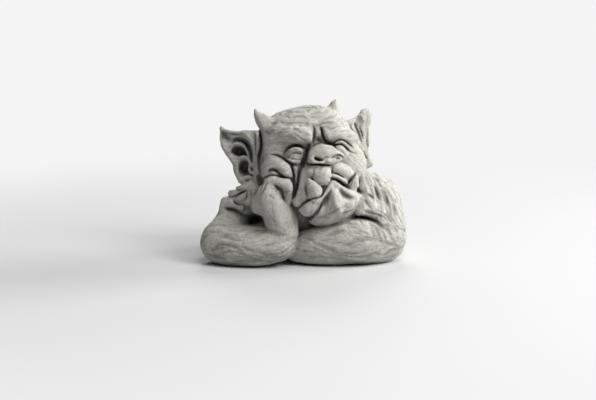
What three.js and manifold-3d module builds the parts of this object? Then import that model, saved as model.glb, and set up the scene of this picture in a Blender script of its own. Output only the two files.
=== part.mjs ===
// A troll garden statue in cast stone: a horned, big-eared troll leans on its folded arms and squashes one
// cheek against its fist. Millimetres, +Z up, the troll looks towards -Y, and the flat underside lies on Z = 0.
//
// The statue is sculpted as clay is. Each mass, such as the skull, a forearm or an ear, is a field: a function
// of a point that is about its distance to the surface, negative inside. Masses melt into each other with a
// blend, and a crease presses a line into them. A lattice of points is then read. Each point belongs to the
// mass that it lies deepest in, and the skins between unlike points become closed meshes, one for each mass,
// that fit each other everywhere with a small seam. Horns, ears, tusks and the eye are lofts, finer than the
// lattice, and each is set in a socket that is cut for it.

import * as THREE from "three";
import { mergeVertices } from "three/addons/utils/BufferGeometryUtils.js";
import Module from "manifold-3d";

const wasm = await Module();
wasm.setup();

// Driving dimensions
const BODY_WIDTH = 270; // over the two elbows
const BODY_DEPTH = 176;
const BODY_HEIGHT = 112; // to the top of the left shoulder
const HEAD_WIDTH = 132; // over the temples
const HEAD_YAW = 18; // degrees, towards the troll's left
const HEAD_TILT = 10.5; // degrees, towards the fist
const HEAD_RISE = 34; // from the top of the shoulder to the middle of the head
const HORN_LENGTH = 26;
const HORN_BASE = 22; // across the foot of a horn
const TUSK_LENGTH = 30; // of the right tusk, and the left one is shorter
const TUSK_BASE = 19; // across the foot of the right tusk
const EYE_DIAMETER = 19;
const EAR_SPAN = 50; // from the head to the tip
const EAR_THICKNESS = 8;
const FOREARM_THICKNESS = 54;
const FINGER_THICKNESS = 15;
const SEAM_GAP = 0.4; // between two masses that touch
const FACE_CELL = 4.4; // lattice step at the nose
const CELL_GROWTH = 100; // distance from the nose, along the lattice, at which a place lies twice as far

const degrees = THREE.MathUtils.degToRad;
const rotation = (turn) =>
  new THREE.Matrix4().makeRotationFromEuler(new THREE.Euler(...turn.map(degrees)));

// A ball, egg or pebble, turned by three angles in degrees. Its squareness is 2 when round and more when boxy.
function ball(centre, radii, turn = [0, 0, 0], squareness = 2) {
  const [cx, cy, cz] = centre;
  const [a, b, c] = Array.isArray(radii) ? radii : [radii, radii, radii];
  const m = rotation(turn).elements;
  return (x, y, z) => {
    const dx = x - cx, dy = y - cy, dz = z - cz;
    const u = (m[0] * dx + m[1] * dy + m[2] * dz) / a;
    const v = (m[4] * dx + m[5] * dy + m[6] * dz) / b;
    const w = (m[8] * dx + m[9] * dy + m[10] * dz) / c;
    const [pu, pv, pw] = [u, v, w].map((value) => Math.abs(value) ** (squareness - 1));
    const k = (pu * Math.abs(u) + pv * Math.abs(v) + pw * Math.abs(w)) ** (1 / squareness);
    const slope = Math.hypot(pu / a, pv / b, pw / c) / k ** (squareness - 1);
    return k < 1e-6 ? -Math.min(a, b, c) : (k - 1) / slope;
  };
}

// Points along a smooth curve through a list of [x, y, z, radius], as flat segments.
function segmentsOf(path, stepsPerSpan = 5) {
  const line = new THREE.CatmullRomCurve3(path.map(([x, y, z]) => new THREE.Vector3(x, y, z)));
  const girth = new THREE.CatmullRomCurve3(path.map(([, , , r = 0]) => new THREE.Vector3(r, 0, 0)));
  const steps = stepsPerSpan * (path.length - 1);
  const points = [];
  for (let i = 0; i <= steps; i++) {
    const p = line.getPoint(i / steps);
    points.push([p.x, p.y, p.z, girth.getPoint(i / steps).x]);
  }
  return points;
}

// The nearest distance from a point to a run of segments, less the radius there.
function besideSegments(points, x, y, z) {
  let best = Infinity;
  for (let i = 1; i < points.length; i++) {
    const [ax, ay, az, ar] = points[i - 1], [bx, by, bz, br] = points[i];
    const ux = bx - ax, uy = by - ay, uz = bz - az;
    const along = ((x - ax) * ux + (y - ay) * uy + (z - az) * uz) / (ux * ux + uy * uy + uz * uz);
    const t = Math.min(1, Math.max(0, along));
    const gap = Math.hypot(x - ax - t * ux, y - ay - t * uy, z - az - t * uz) - ar - t * (br - ar);
    if (gap < best) best = gap;
  }
  return best;
}

// A limb, a lip or a fold: round, with its own thickness at each point of its path.
function limb(path) {
  const points = segmentsOf(path);
  return (x, y, z) => besideSegments(points, x, y, z);
}

function blendTwo(k, a, b) {
  const h = Math.max(k - Math.abs(a - b), 0) / k;
  return Math.min(a, b) - (h * h * k) / 4;
}

// Masses that melt into each other over a width k.
const blend = (k, ...fields) => (x, y, z) => {
  let d = fields[0](x, y, z);
  for (let i = 1; i < fields.length; i++) d = blendTwo(k, d, fields[i](x, y, z));
  return d;
};

// A hollow pressed into a mass with a tool, its rim rounded over a width k.
const hollow = (k, mass, ...tools) => (x, y, z) => {
  let d = mass(x, y, z);
  for (const tool of tools) d = -blendTwo(k, -d, tool(x, y, z));
  return d;
};

// A field that is written in the frame of a group, such as the head's
function framed(frame, field) {
  const m = frame.matrixWorld.clone().invert().elements;
  const size = frame.scale.x;
  return (x, y, z) =>
    size * field(
      m[0] * x + m[4] * y + m[8] * z + m[12],
      m[1] * x + m[5] * y + m[9] * z + m[13],
      m[2] * x + m[6] * y + m[10] * z + m[14],
    );
}

// The head has its own frame: its centre is the origin, and it is turned and tilted on the shoulders.
const headFrame = new THREE.Group();
headFrame.position.set(3, -8, BODY_HEIGHT + HEAD_RISE);
headFrame.rotation.set(0, -degrees(HEAD_TILT), degrees(HEAD_YAW), "YZX");
headFrame.scale.setScalar(HEAD_WIDTH / 132);
headFrame.updateMatrixWorld(true);
const inHead = (field) => framed(headFrame, field);

// The body is written for 270 by 176 by 112, and stretches from there.
const stretch = { x: BODY_WIDTH / 270, y: BODY_DEPTH / 176, z: BODY_HEIGHT / 112 };
const leastStretch = Math.min(stretch.x, stretch.y, stretch.z);
const inBody = (field) => (x, y, z) =>
  leastStretch * field(x / stretch.x, y / stretch.y, z / stretch.z);

// Torso: a hunched back, two shoulders, the chest inside the ring of the arms, locks of hair that fall from the
// left cheek over the shoulder, and tufts on the right shoulder
function torso() {
  const back = ball([4, 32, 50], [92, 60, 66]);
  const hump = ball([18, 34, 84], [66, 50, 40]);
  const leftShoulder = ball([89, 12, 72], [43, 42, 40]);
  const rightShoulder = ball([-77, 4, 62], [35, 36, 29]);
  const chest = ball([12, -6, 50], [62, 38, 54]);
  const neck = ball([8, -4, 100], [56, 44, 34]);
  const mane = limb([[72, -22, 104, 17], [86, -16, 96, 20], [98, -14, 78, 22]]);
  const locks = [
    limb([[78, -19, 122, 12], [80, -31, 110, 13], [81, -40, 95, 13], [83, -43, 79, 12], [88, -42, 65, 10]]),
    limb([[87, -8, 114, 12], [97, -17, 99, 14], [105, -22, 81, 14], [111, -24, 63, 13], [115, -23, 46, 12]]),
  ];
  const tufts = [
    ball([-88, 4, 87], [15, 16, 9], [0, 24, 0]),
    ball([-82, -18, 82], [15, 13, 11], [0, 24, 0]),
    limb([[-70, -8, 104, 10], [-64, -20, 92, 11], [-67, -24, 76, 11]]),
  ];
  const mass = blend(16, back, hump, leftShoulder, rightShoulder, chest, neck, mane);
  return blend(3, blend(10, mass, ...locks), ...tufts);
}

// Arms: each upper arm comes down to an elbow on the ground, and the forearm lies in front of the chest
const thick = FOREARM_THICKNESS / 2;
function rightArm() {
  const upper = limb([[-86, 0, 62, 22], [-98, -20, 48, 21], [-107, -34, 34, 23]]);
  const fore = limb([
    [-109, -40, 25, thick - 1], [-90, -50, 26, thick], [-58, -57, 27, thick], [-34, -60, 32, thick - 1],
  ]);
  return blend(10, upper, fore);
}
function leftArm() {
  const upper = limb([[100, 6, 62, 32], [108, -8, 44, 30], [106, -22, 32, 30]]);
  const fore = limb([
    [104, -28, 30, thick + 4], [84, -40, 30, thick + 4], [60, -45, 32, thick + 5], [38, -47, 29, thick + 2],
    [18, -46, 26, thick - 1], [-6, -40, 23, thick - 5],
  ]);
  return blend(10, upper, fore);
}

// Right hand: the wrist bends up out of the forearm, and the knuckles press into the cheek
const finger = FINGER_THICKNESS / 2;
function rightHand() {
  const palm = limb([
    [-27, -63, 46, 22], [-28, -66, 62, 21], [-34, -68, 77, 20], [-43, -70, 92, 17], [-43, -74, 106, 15],
  ]);
  const thumb = ball([-57, -60, 81], [11, 13, 13], [0, 12, 0]);
  const knuckles = [ball([-43, -75, 112], 9.5), ball([-33, -78, 112], 9.5)];
  return blend(5, palm, thumb, ...knuckles);
}
function rightFinger() {
  return limb([
    [-30, -80, 111, finger], [-21, -83, 110, finger], [-19, -86, 100, finger], [-19, -84, 90, finger - 0.5],
  ]);
}

// Head, written in its own frame: the skull, the brows, the eye sockets and the cheeks
function head() {
  const skull = ball([1, 4, 3], [63, 60, 54], [0, 0, 0], 2.5);
  const jowls = ball([2, -14, -30], [58, 46, 44]);
  const rightBrow = limb([[-52, -42, 24, 9], [-36, -52, 27, 11], [-20, -56, 24, 10], [-9, -58, 18, 7]]);
  const leftBrow = limb([[54, -38, 6, 9], [41, -48, 15, 10], [25, -54, 21, 11], [11, -58, 20, 7]]);
  const wedge = limb([[1, -58, 32, 5], [1, -62, 22, 5], [-1, -66, 12, 5]]);
  const rightCheek = ball([-56, -42, -8], [18, 20, 14], [0, 16, 0]);
  const leftCheek = ball([38, -34, -26], [30, 28, 30]);
  const fold = limb([[-40, -54, -4, 6], [-36, -60, -18, 6], [-38, -62, -36, 6], [-43, -62, -54, 7]]);
  const mass = blend(6, blend(14, skull, jowls), rightBrow, leftBrow, wedge, rightCheek, leftCheek, fold);
  const rightSocket = ball([eyeAt[0], -62, eyeAt[2]], [eye + 5, 12, eye + 1]);
  const leftSocket = ball([32, -62, 0], [14, 8, 8], [0, 14, 0]);
  const sockets = hollow(5, mass, rightSocket, leftSocket);
  const lids = [
    limb([[-46, -53, 1, 3], [-38, -59, 11, 3.5], [-29, -63, 15, 3.5], [-20, -61, 11, 3.5], [-15, -58, 2, 3]]),
    limb([[-46, -53, 1, 3], [-37, -59, -6, 3.5], [-26, -61, -7, 3], [-16, -59, -2, 3]]),
    limb([[18, -60, 3, 3], [25, -62, 8, 3.5], [32, -60, 8, 3.5], [39, -55, 1, 3.5], [48, -48, -8, 3]]),
    ball([29, -53, -2], [12, 8, 8]),
  ];
  return blend(2.5, sockets, ...lids);
}

// Radius and middle of the open eye
const eye = EYE_DIAMETER / 2;
const eyeAt = [-30, -52, 4];

function nose() {
  const tip = ball([-1, -74, 2], [22, 16, 11], [0, 8, 0]);
  const wings = [ball([-17, -76, -1], [8, 10, 8]), ball([18, -73, -6], [8, 9, 7])];
  const rightNostril = ball([-11, -88, -4], [6, 8, 3.5], [0, 20, 0]);
  const leftNostril = ball([14, -84, -7], [6, 8, 3], [0, -15, 0]);
  return hollow(2, blend(4, tip, ...wings), rightNostril, leftNostril);
}

// Upper lip: a round lobe under the nose, a fold towards the left tusk and a flap beside the right tusk
function upperLip() {
  const middle = ball([-9, -77, -22], [12.5, 13, 12.5]);
  const left = limb([[3, -72, -15, 8], [14, -72, -20, 9], [25, -66, -29, 9], [34, -57, -39, 7]]);
  const flap = limb([[-21, -73, -13, 8], [-31, -72, -24, 9], [-38, -69, -40, 9], [-42, -66, -53, 8]]);
  return blend(3, middle, left, flap);
}

// Lower jaw: the lip peaks under the lobe, and the chin drapes down onto the left forearm
function lowerJaw() {
  const lip = limb([
    [-46, -66, -63, 6], [-34, -76, -62, 6], [-23, -80, -57, 6], [-14, -82, -50, 6], [-6, -83, -39, 5.5],
    [2, -82, -35.5, 5.5], [12, -78, -42, 5.5], [24, -70, -54, 6], [38, -60, -64, 6],
  ]);
  const chin = ball([2, -56, -66], [40, 28, 27]);
  const bulges = [ball([-37, -74, -66], [14, 12, 11], [0, -22, 0]), ball([22, -64, -66], [15, 12, 13])];
  const wattle = ball([-2, -48, -84], [40, 24, 18]);
  return blend(5, lip, blend(8, chin, wattle), ...bulges);
}

// Lofts

// A closed skin over rings of equally many points, from a first point to a last one. The rings turn to the left
// when seen from the last point.
function loft(first, rings, last) {
  const points = [first, ...rings.flat(), last];
  const round = rings[0].length;
  const at = (ring, i) => 1 + ring * round + (i % round);
  const faces = [];
  for (let i = 0; i < round; i++) {
    faces.push(0, at(0, i + 1), at(0, i));
    for (let ring = 1; ring < rings.length; ring++) {
      faces.push(at(ring - 1, i), at(ring - 1, i + 1), at(ring, i + 1));
      faces.push(at(ring - 1, i), at(ring, i + 1), at(ring, i));
    }
    faces.push(at(rings.length - 1, i), at(rings.length - 1, i + 1), points.length - 1);
  }
  const geometry = new THREE.BufferGeometry().setFromPoints(points);
  geometry.setIndex(faces);
  geometry.computeVertexNormals();
  return geometry;
}

// Horns and tusks: a cone of stone that bends towards its blunt tip. Its foot is buried, and grown makes it fatter
// all round, for its socket.
function spike({ foot, tip, bend, length, across }, grown = 0) {
  const from = new THREE.Vector3(...foot);
  const along = new THREE.Vector3(...tip).sub(from).normalize();
  const middle = from.clone().addScaledVector(along, length / 2).add(new THREE.Vector3(...bend));
  const end = from.clone().addScaledVector(along, length);
  const axis = new THREE.QuadraticBezierCurve3(from, middle, end);
  const side = new THREE.Vector3(0, 1, 0).cross(along).normalize();
  const front = along.clone().cross(side);
  const wide = across / 2;
  const tipRadius = 1.2;
  const rings = [0, 0.25, 0.5, 0.7, 0.86, 0.97].map((share) => {
    const radius = tipRadius + (wide - tipRadius) * (1 - share ** 1.5) + grown;
    return Array.from({ length: 12 }, (_, i) => {
      const angle = (2 * Math.PI * i) / 12;
      return axis.getPoint(share)
        .addScaledVector(side, radius * Math.cos(angle))
        .addScaledVector(front, radius * Math.sin(angle));
    });
  });
  const root = from.clone().addScaledVector(along, -grown - 1);
  return loft(root, rings, end.clone().addScaledVector(along, grown));
}
const tusk = { length: TUSK_LENGTH, across: TUSK_BASE };
const shortTusk = { length: 0.88 * TUSK_LENGTH, across: 0.85 * TUSK_BASE };
const RIGHT_TUSK = { ...tusk, foot: [-19, -80, -50], tip: [-31, -91, -24], bend: [3, 0, 2] };
const LEFT_TUSK = { ...shortTusk, foot: [31, -64, -58], tip: [40, -69, -33], bend: [2, 0, 0] };
const horn = { length: HORN_LENGTH, across: HORN_BASE };
const RIGHT_HORN = { ...horn, foot: [-45, 2, 45], tip: [-56, 0, 68], bend: [-4, 0, 0] };
const LEFT_HORN = { ...horn, foot: [46, 8, 36], tip: [57, 9, 58], bend: [3, 0, 0] };

// The open eye: a ball that the lids hold
const eyeball = (grown = 0) => new THREE.SphereGeometry(eye + grown, 16, 10).translate(...eyeAt);

// Ears: a pointed bowl with a thick rim, swept back from the temple. In an ear's frame X runs from the head to
// the tip, Y goes back through the ear and Z is up. The rim is a closed curve, and rings step from the middle of
// the bowl out to the rim and, behind it, back in.
const EAR_MIDDLE = [20, 4, -10];
const EAR_RIM = [
  [-3, 0, 11], [8, -3, 17], [24, -1, 17], [38, 2, 20], [50, 4, 29], [48, 3, 14], [45, 1, -4], [35, 0, -22],
  [28, 0, -40], [18, -2, -53], [8, -3, -42], [0, -4, -24], [-4, -4, 0],
];
function ear(grown = 0) {
  const half = EAR_THICKNESS / 2 + grown;
  const rim = new THREE.CatmullRomCurve3(EAR_RIM.map((p) => new THREE.Vector3(...p)), true, "centripetal");
  const middle = new THREE.Vector3(...EAR_MIDDLE);
  const ring = (share, depth) => rim.getPoints(30).slice(0, 30).map((edge) => {
    const point = middle.clone().lerp(edge, share + (share === 1 ? grown / 20 : 0));
    const pit = 5 * Math.exp(-(((point.x - 14) / 9) ** 2) - ((point.z + 20) / 16) ** 2);
    return point.setY(point.y + depth + (depth > 0 && depth < 6 ? pit : 0));
  });
  const front = [[0.35, 4], [0.65, 3.5], [0.8, 0.5], [0.92, -half], [1, -half / 2]];
  const back = [[1, half / 2], [0.92, half + 1], [0.7, half + 6], [0.4, half + 10]];
  const sides = [...front.map(([share, depth]) => [share, depth - grown]), ...back];
  return loft(
    middle.clone().setY(middle.y + 4 - grown),
    sides.map(([share, depth]) => ring(share, depth)),
    middle.clone().setY(middle.y + half + 10),
  );
}

// All the masses of the statue, with the colour of their stone
const body = [
  { name: "torso", field: inBody(torso()), colour: 0x9f9f99 },
  { name: "right_arm", field: inBody(rightArm()), colour: 0xa8a8a2 },
  { name: "right_hand", field: inBody(rightHand()), colour: 0xb0b0aa },
  { name: "right_finger", field: inBody(rightFinger()), colour: 0xa6a6a0 },
  { name: "left_arm", field: inBody(leftArm()), colour: 0xa8a8a2 },
];
const face = [
  { name: "head", field: inHead(head()), colour: 0xb2b2ac },
  { name: "nose", field: inHead(nose()), colour: 0xb4b4ae },
  { name: "upper_lip", field: inHead(upperLip()), colour: 0xaeaea8 },
  { name: "lower_jaw", field: inHead(lowerJaw()), colour: 0xa8a8a2 },
];
const masses = [...body, ...face];
const MELT = 2; // masses run together over this width where they meet
const wholeStatue = blend(MELT, ...masses.map((mass) => mass.field));

// Lattice: its steps are small at the nose and widen with distance from it
const OUTSIDE = -1;
const focus = new THREE.Vector3(0, -78, -4).applyMatrix4(headFrame.matrixWorld);
const reach = new THREE.Vector3(
  Math.max(0.57 * BODY_WIDTH, 0.75 * HEAD_WIDTH),
  Math.max(0.62 * BODY_DEPTH, 0.83 * HEAD_WIDTH),
  BODY_HEIGHT + HEAD_RISE + 0.64 * HEAD_WIDTH,
);
const lowest = new THREE.Vector3(-reach.x, -reach.y, -8);
const highest = new THREE.Vector3(reach.x, 0.62 * BODY_DEPTH, reach.z);

// How far along the lattice a real distance from the nose lies: the inverse of the widening, by Newton's method.
function latticeDistance(real) {
  let q = Math.abs(real);
  for (let i = 0; i < 30; i++) {
    const excess = q * (1 + q / CELL_GROWTH) - Math.abs(real);
    q -= excess / (1 + (2 * q) / CELL_GROWTH);
  }
  return Math.sign(real) * q;
}
const stepsTo = (corner) =>
  corner.clone().sub(focus).toArray().map((real) => latticeDistance(real) / FACE_CELL);
const firstStep = stepsTo(lowest).map(Math.floor);
const lastStep = stepsTo(highest).map(Math.ceil);
const size = lastStep.map((last, a) => last - firstStep[a] + 1);
const stride = [1, size[0], size[0] * size[1]];
const count = size[0] * size[1] * size[2];

function latticePoint(index) {
  const steps = [index % size[0], Math.floor(index / stride[1]) % size[1], Math.floor(index / stride[2])];
  const q = new THREE.Vector3(...steps.map((s, a) => (s + firstStep[a]) * FACE_CELL));
  return q.multiplyScalar(1 + q.length() / CELL_GROWTH).add(focus);
}

// Each point holds the depth in every mass, and the mass that it lies deepest in
const place = new Float32Array(3 * count);
const depth = new Float32Array(masses.length * count);
const solid = new Float32Array(count);
const owner = new Int8Array(count);
for (let i = 0; i < count; i++) {
  const { x, y, z } = latticePoint(i);
  place.set([x, y, z], 3 * i);
  let melted = Infinity, best = 0;
  masses.forEach((mass, m) => {
    const d = mass.field(x, y, z);
    depth[m * count + i] = d;
    melted = m ? blendTwo(MELT, melted, d) : d;
    if (d < depth[best * count + i]) best = m;
  });
  solid[i] = Math.max(melted, -z);
  owner[i] = solid[i] < 0 ? best : OUTSIDE;
}

const onEdge = (index) =>
  size.some((n, a) => [0, n - 1].includes(Math.floor(index / stride[a]) % n));

// Groups of like points that touch along lattice steps
function groupsOf(label) {
  const seen = new Uint8Array(count);
  const groups = [];
  for (let start = 0; start < count; start++) {
    if (seen[start] || owner[start] !== label) continue;
    const group = [start];
    seen[start] = 1;
    for (const at of group) {
      for (let a = 0; a < 3; a++) {
        const step = Math.floor(at / stride[a]) % size[a];
        for (const next of [step > 0 ? at - stride[a] : at, step < size[a] - 1 ? at + stride[a] : at]) {
          if (!seen[next] && owner[next] === label) {
            seen[next] = 1;
            group.push(next);
          }
        }
      }
    }
    groups.push(group);
  }
  return groups.sort((p, q) => q.length - p.length);
}

// Stray islands of a mass, and pockets of air, go to the mass around them.
function absorbIslands() {
  for (let label = OUTSIDE; label < masses.length; label++) {
    for (const island of groupsOf(label).slice(1)) {
      const votes = new Map();
      for (const at of island) {
        for (const next of stride.flatMap((s) => [at - s, at + s])) {
          if (owner[next] !== label) votes.set(owner[next], (votes.get(owner[next]) ?? 0) + 1);
        }
      }
      const winner = [...votes].sort((p, q) => q[1] - p[1])[0][0];
      for (const at of island) owner[at] = winner;
    }
  }
}

// A cell's eight corners: bit 0 is x, bit 1 is y and bit 2 is z. Its corners inside a mass are a set of bits.
const cornerShift = Array.from({ length: 8 }, (_, k) =>
  stride.reduce((sum, s, a) => sum + (k & (1 << a) ? s : 0), 0));

// A set of corners makes a sound skin when it and the rest each hang together, and no side is a chequer.
function isSound(set) {
  const hangsTogether = (bits) => {
    let reached = bits & -bits;
    for (let round = 0; round < 8; round++) {
      for (let k = 0; k < 8; k++) {
        if (reached & (1 << k)) for (const turn of [1, 2, 4]) reached |= (1 << (k ^ turn)) & bits;
      }
    }
    return reached === bits;
  };
  const isIn = (k) => (set >> k) & 1;
  for (const [a, b, c] of [[1, 2, 4], [2, 4, 1], [4, 1, 2]]) {
    for (const side of [0, c]) {
      const corners = [side, side | a, side | a | b, side | b].map(isIn);
      if (corners[0] === corners[2] && corners[1] === corners[3] && corners[0] !== corners[1]) return false;
    }
  }
  return hangsTogether(set) && hangsTogether(255 & ~set);
}
const sound = Array.from({ length: 256 }, (_, set) => isSound(set));

// How many masses have an unsound skin in a cell, given its corners' owners
function faultsIn(corners) {
  let faults = 0;
  for (const label of new Set(corners)) {
    const set = corners.reduce((bits, owned, k) => bits | (owned === label ? 1 << k : 0), 0);
    if (!sound[set]) faults++;
  }
  return faults;
}

// Gives the corner that costs least to another mass, until every cell is sound.
function mendCells() {
  const changes = new Uint8Array(count);
  const depthAt = (label, at) =>
    label === OUTSIDE ? 0 : Math.max(depth[label * count + at], -place[3 * at + 2]);
  for (let pass = 0; pass < 60; pass++) {
    let mends = 0;
    for (let cell = 0; cell < count - cornerShift[7]; cell++) {
      if (size.some((n, a) => Math.floor(cell / stride[a]) % n === n - 1)) continue;
      const corners = cornerShift.map((shift) => owner[cell + shift]);
      const labels = new Set(corners);
      if (labels.size === 1) continue;
      const faults = faultsIn(corners);
      if (!faults) continue;
      let best = { faults, cost: Infinity };
      corners.forEach((old, k) => {
        const at = cell + cornerShift[k];
        for (const label of labels) {
          if (label === old) continue;
          const left = faultsIn(corners.with(k, label));
          const cost = Math.abs(depthAt(label, at) - depthAt(old, at)) + 2 * changes[at];
          if (left < best.faults || (left === best.faults && left < faults && cost < best.cost)) {
            best = { faults: left, cost, at, label };
          }
        }
      });
      if (best.at === undefined) {
        best = { at: cell + cornerShift[pass % 8], label: [...labels][pass % labels.size] };
      }
      owner[best.at] = best.label;
      changes[best.at]++;
      mends++;
    }
    if (!mends) return;
  }
  throw new Error("some cells stay unsound");
}
absorbIslands();
mendCells();
absorbIslands();
mendCells();

// The skin's point in a cell: the mean of the places where unlike corners part
function skinPoint(cell) {
  const sum = new THREE.Vector3();
  let partings = 0, air = false, ground = false;
  for (let k = 0; k < 8; k++) {
    const i = cell + cornerShift[k];
    for (const turn of [1, 2, 4]) {
      if (k & turn) continue;
      const j = cell + cornerShift[k | turn];
      const p = owner[i], q = owner[j];
      if (p === q) continue;
      const open = p === OUTSIDE || q === OUTSIDE;
      const atI = open ? solid[i] : depth[p * count + i] - depth[q * count + i];
      const atJ = open ? solid[j] : depth[p * count + j] - depth[q * count + j];
      const t = atI * atJ < 0 ? Math.min(0.9, Math.max(0.1, atI / (atI - atJ))) : 0.5;
      const [a, b] = [i, j].map((n) => new THREE.Vector3().fromArray(place, 3 * n));
      sum.add(a.lerp(b, t));
      partings++;
      air ||= open;
      ground ||= open && place[3 * i + 2] * place[3 * j + 2] < 0 && wholeStatue(...a.setZ(0)) < 0;
    }
  }
  return { point: sum.divideScalar(partings), air, ground };
}

// Moves a point along the steepest slope of the statue, up to a limit, to where its field is nought.
function layOnSurface(point, limit) {
  const start = point.clone();
  const h = 0.05;
  for (let i = 0; i < 3; i++) {
    const [x, y, z] = point;
    const here = wholeStatue(x, y, z);
    const slope = new THREE.Vector3(
      wholeStatue(x + h, y, z) - here, wholeStatue(x, y + h, z) - here, wholeStatue(x, y, z + h) - here,
    ).divideScalar(h);
    point.addScaledVector(slope, -here / Math.max(0.2, slope.lengthSq()));
  }
  const moved = point.clone().sub(start).clampLength(0, limit);
  point.copy(start).add(moved);
  point.z = Math.max(point.z, LEAST_RISE);
}
const LEAST_RISE = 0.6; // of the first skin points above the flat underside

// Every cell whose corners are unlike, with its point, the room that this may move in, its neighbours in the
// skin and what it lies between
const skinCells = new Map();
for (let cell = 0; cell < count - cornerShift[7]; cell++) {
  if (size.some((n, a) => Math.floor(cell / stride[a]) % n === n - 1)) continue;
  const labels = new Set(cornerShift.map((shift) => owner[cell + shift]));
  if (labels.size === 1) continue;
  labels.delete(OUTSIDE);
  const corners = cornerShift.map((shift) => new THREE.Vector3().fromArray(place, 3 * (cell + shift)));
  const room = new THREE.Box3().setFromPoints(corners);
  skinCells.set(cell, { ...skinPoint(cell), room, seam: labels.size > 1, beside: [] });
}
for (const [cell, skin] of skinCells) {
  stride.forEach((step, a) => {
    const next = skinCells.get(cell + step);
    const shared = cornerShift.filter((_, k) => k & (1 << a)).map((shift) => owner[cell + shift]);
    if (!next || new Set(shared).size === 1) return;
    skin.beside.push(next);
    next.beside.push(skin);
  });
}

// Seams are smoothed, those in the open only along the open, and open points are laid on the statue's surface.
function smoothSeams() {
  for (const skin of skinCells.values()) {
    const beside = skin.air ? skin.beside.filter((next) => next.air && next.seam) : skin.beside;
    skin.mean = new THREE.Vector3();
    beside.forEach((next) => skin.mean.addScaledVector(next.point, 1 / beside.length));
    skin.smooth = skin.seam && beside.length > 1;
  }
  for (const skin of skinCells.values()) if (skin.smooth) skin.point.lerp(skin.mean, skin.air ? 0.4 : 0.6);
}
const settle = ({ point, room, air, ground }) => {
  if (air && !ground) layOnSurface(point, 0.4 * FACE_CELL);
  room.clampPoint(point, point);
  if (ground) point.setZ(0);
};
skinCells.forEach(settle);
for (let round = 0; round < 4; round++) {
  smoothSeams();
  skinCells.forEach((skin) => skin.seam && settle(skin));
}

// The skins: each lattice step between unlike points makes a four-sided patch on both of their masses
const skins = masses.map(() => ({ cells: new Map(), triangles: [] }));
function addPatch(label, quad) {
  const { cells, triangles } = skins[label];
  const [a, b, c, d] = quad.map((cell) => {
    if (!cells.has(cell)) cells.set(cell, cells.size);
    return cells.get(cell);
  });
  const at = quad.map((cell) => skinCells.get(cell).point);
  const alongFirst = at[0].distanceToSquared(at[2]) <= at[1].distanceToSquared(at[3]);
  if (alongFirst) triangles.push([a, b, c], [a, c, d]);
  else triangles.push([a, b, d], [b, c, d]);
}
for (let i = 0; i < count; i++) {
  if (onEdge(i)) continue;
  for (let a = 0; a < 3; a++) {
    const lower = owner[i], upper = owner[i + stride[a]];
    if (lower === upper) continue;
    const b = stride[(a + 1) % 3], c = stride[(a + 2) % 3];
    const around = [i - b - c, i - c, i, i - b];
    if (lower !== OUTSIDE) addPatch(lower, around);
    if (upper !== OUTSIDE) addPatch(upper, [around[0], around[3], around[2], around[1]]);
  }
}

// A skin's corners, drawn in by half the seam where the mass touches another, but never far along a short edge
function corners({ cells, triangles }) {
  const points = [...cells.keys()].map((cell) => skinCells.get(cell).point.clone());
  const facing = points.map(() => []);
  const reach = points.map(() => Infinity);
  for (const triangle of triangles) {
    const [a, b, c] = triangle.map((n) => points[n]);
    const normal = new THREE.Triangle(a, b, c).getNormal(new THREE.Vector3());
    const shortest = Math.min(a.distanceTo(b), b.distanceTo(c), c.distanceTo(a));
    for (const n of triangle) {
      if (normal.lengthSq() > 0.5) facing[n].push(normal);
      reach[n] = Math.min(reach[n], shortest / 4);
    }
  }
  return [...cells.keys()].map((cell, n) => {
    const { point, seam, ground } = skinCells.get(cell);
    if (!seam) return point;
    const faces = ground ? facing[n].filter((normal) => normal.z > -0.99) : facing[n];
    const { out, least } = awayFrom(faces, ground);
    const inset = least > 0.1 ? Math.min(reach[n], SEAM_GAP / 2 / Math.max(0.3, least)) : 0;
    return point.clone().addScaledVector(out, -inset);
  });
}

// The direction that leans most towards all the faces round a corner, and how much it leans towards the worst
function awayFrom(faces, level) {
  const out = faces.reduce((sum, normal) => sum.add(normal), new THREE.Vector3());
  const best = { out: out.clone(), least: -1 };
  for (let i = 1; i <= 200; i++) {
    if (level) out.setZ(0);
    out.normalize();
    const worst = faces.reduce((p, q) => (p.dot(out) < q.dot(out) ? p : q));
    const least = worst.dot(out);
    if (least > best.least) Object.assign(best, { out: out.clone(), least });
    if (least > 0.5) break;
    out.addScaledVector(worst, 1 / (i + 2));
  }
  return best;
}

// The statue: the body's masses and, in a turned group, the head's, centred over the origin
const statue = new THREE.Group();
statue.name = "troll_garden_statue";
const bodyGroup = new THREE.Group();
bodyGroup.name = "body_masses";
const headGroup = new THREE.Group();
headGroup.name = "head_masses";
headGroup.position.copy(headFrame.position);
headGroup.rotation.copy(headFrame.rotation);
headGroup.scale.copy(headFrame.scale);
statue.add(bodyGroup, headGroup);

function stone(name, geometry, colour, group) {
  const mesh = new THREE.Mesh(
    geometry,
    new THREE.MeshStandardMaterial({ color: colour, roughness: 0.92, metalness: 0 }),
  );
  mesh.name = name;
  group.add(mesh);
  return mesh;
}

// An ear's group stands at the temple, turned back by its sweep in degrees, and the right one is mirrored.
function earGroup(side, root, sweep) {
  const group = new THREE.Group();
  group.position.set(...root);
  group.rotation.z = side * degrees(sweep);
  group.scale.set((side * EAR_SPAN) / 50, EAR_SPAN / 50, EAR_SPAN / 50);
  headGroup.add(group);
  return group;
}

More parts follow.
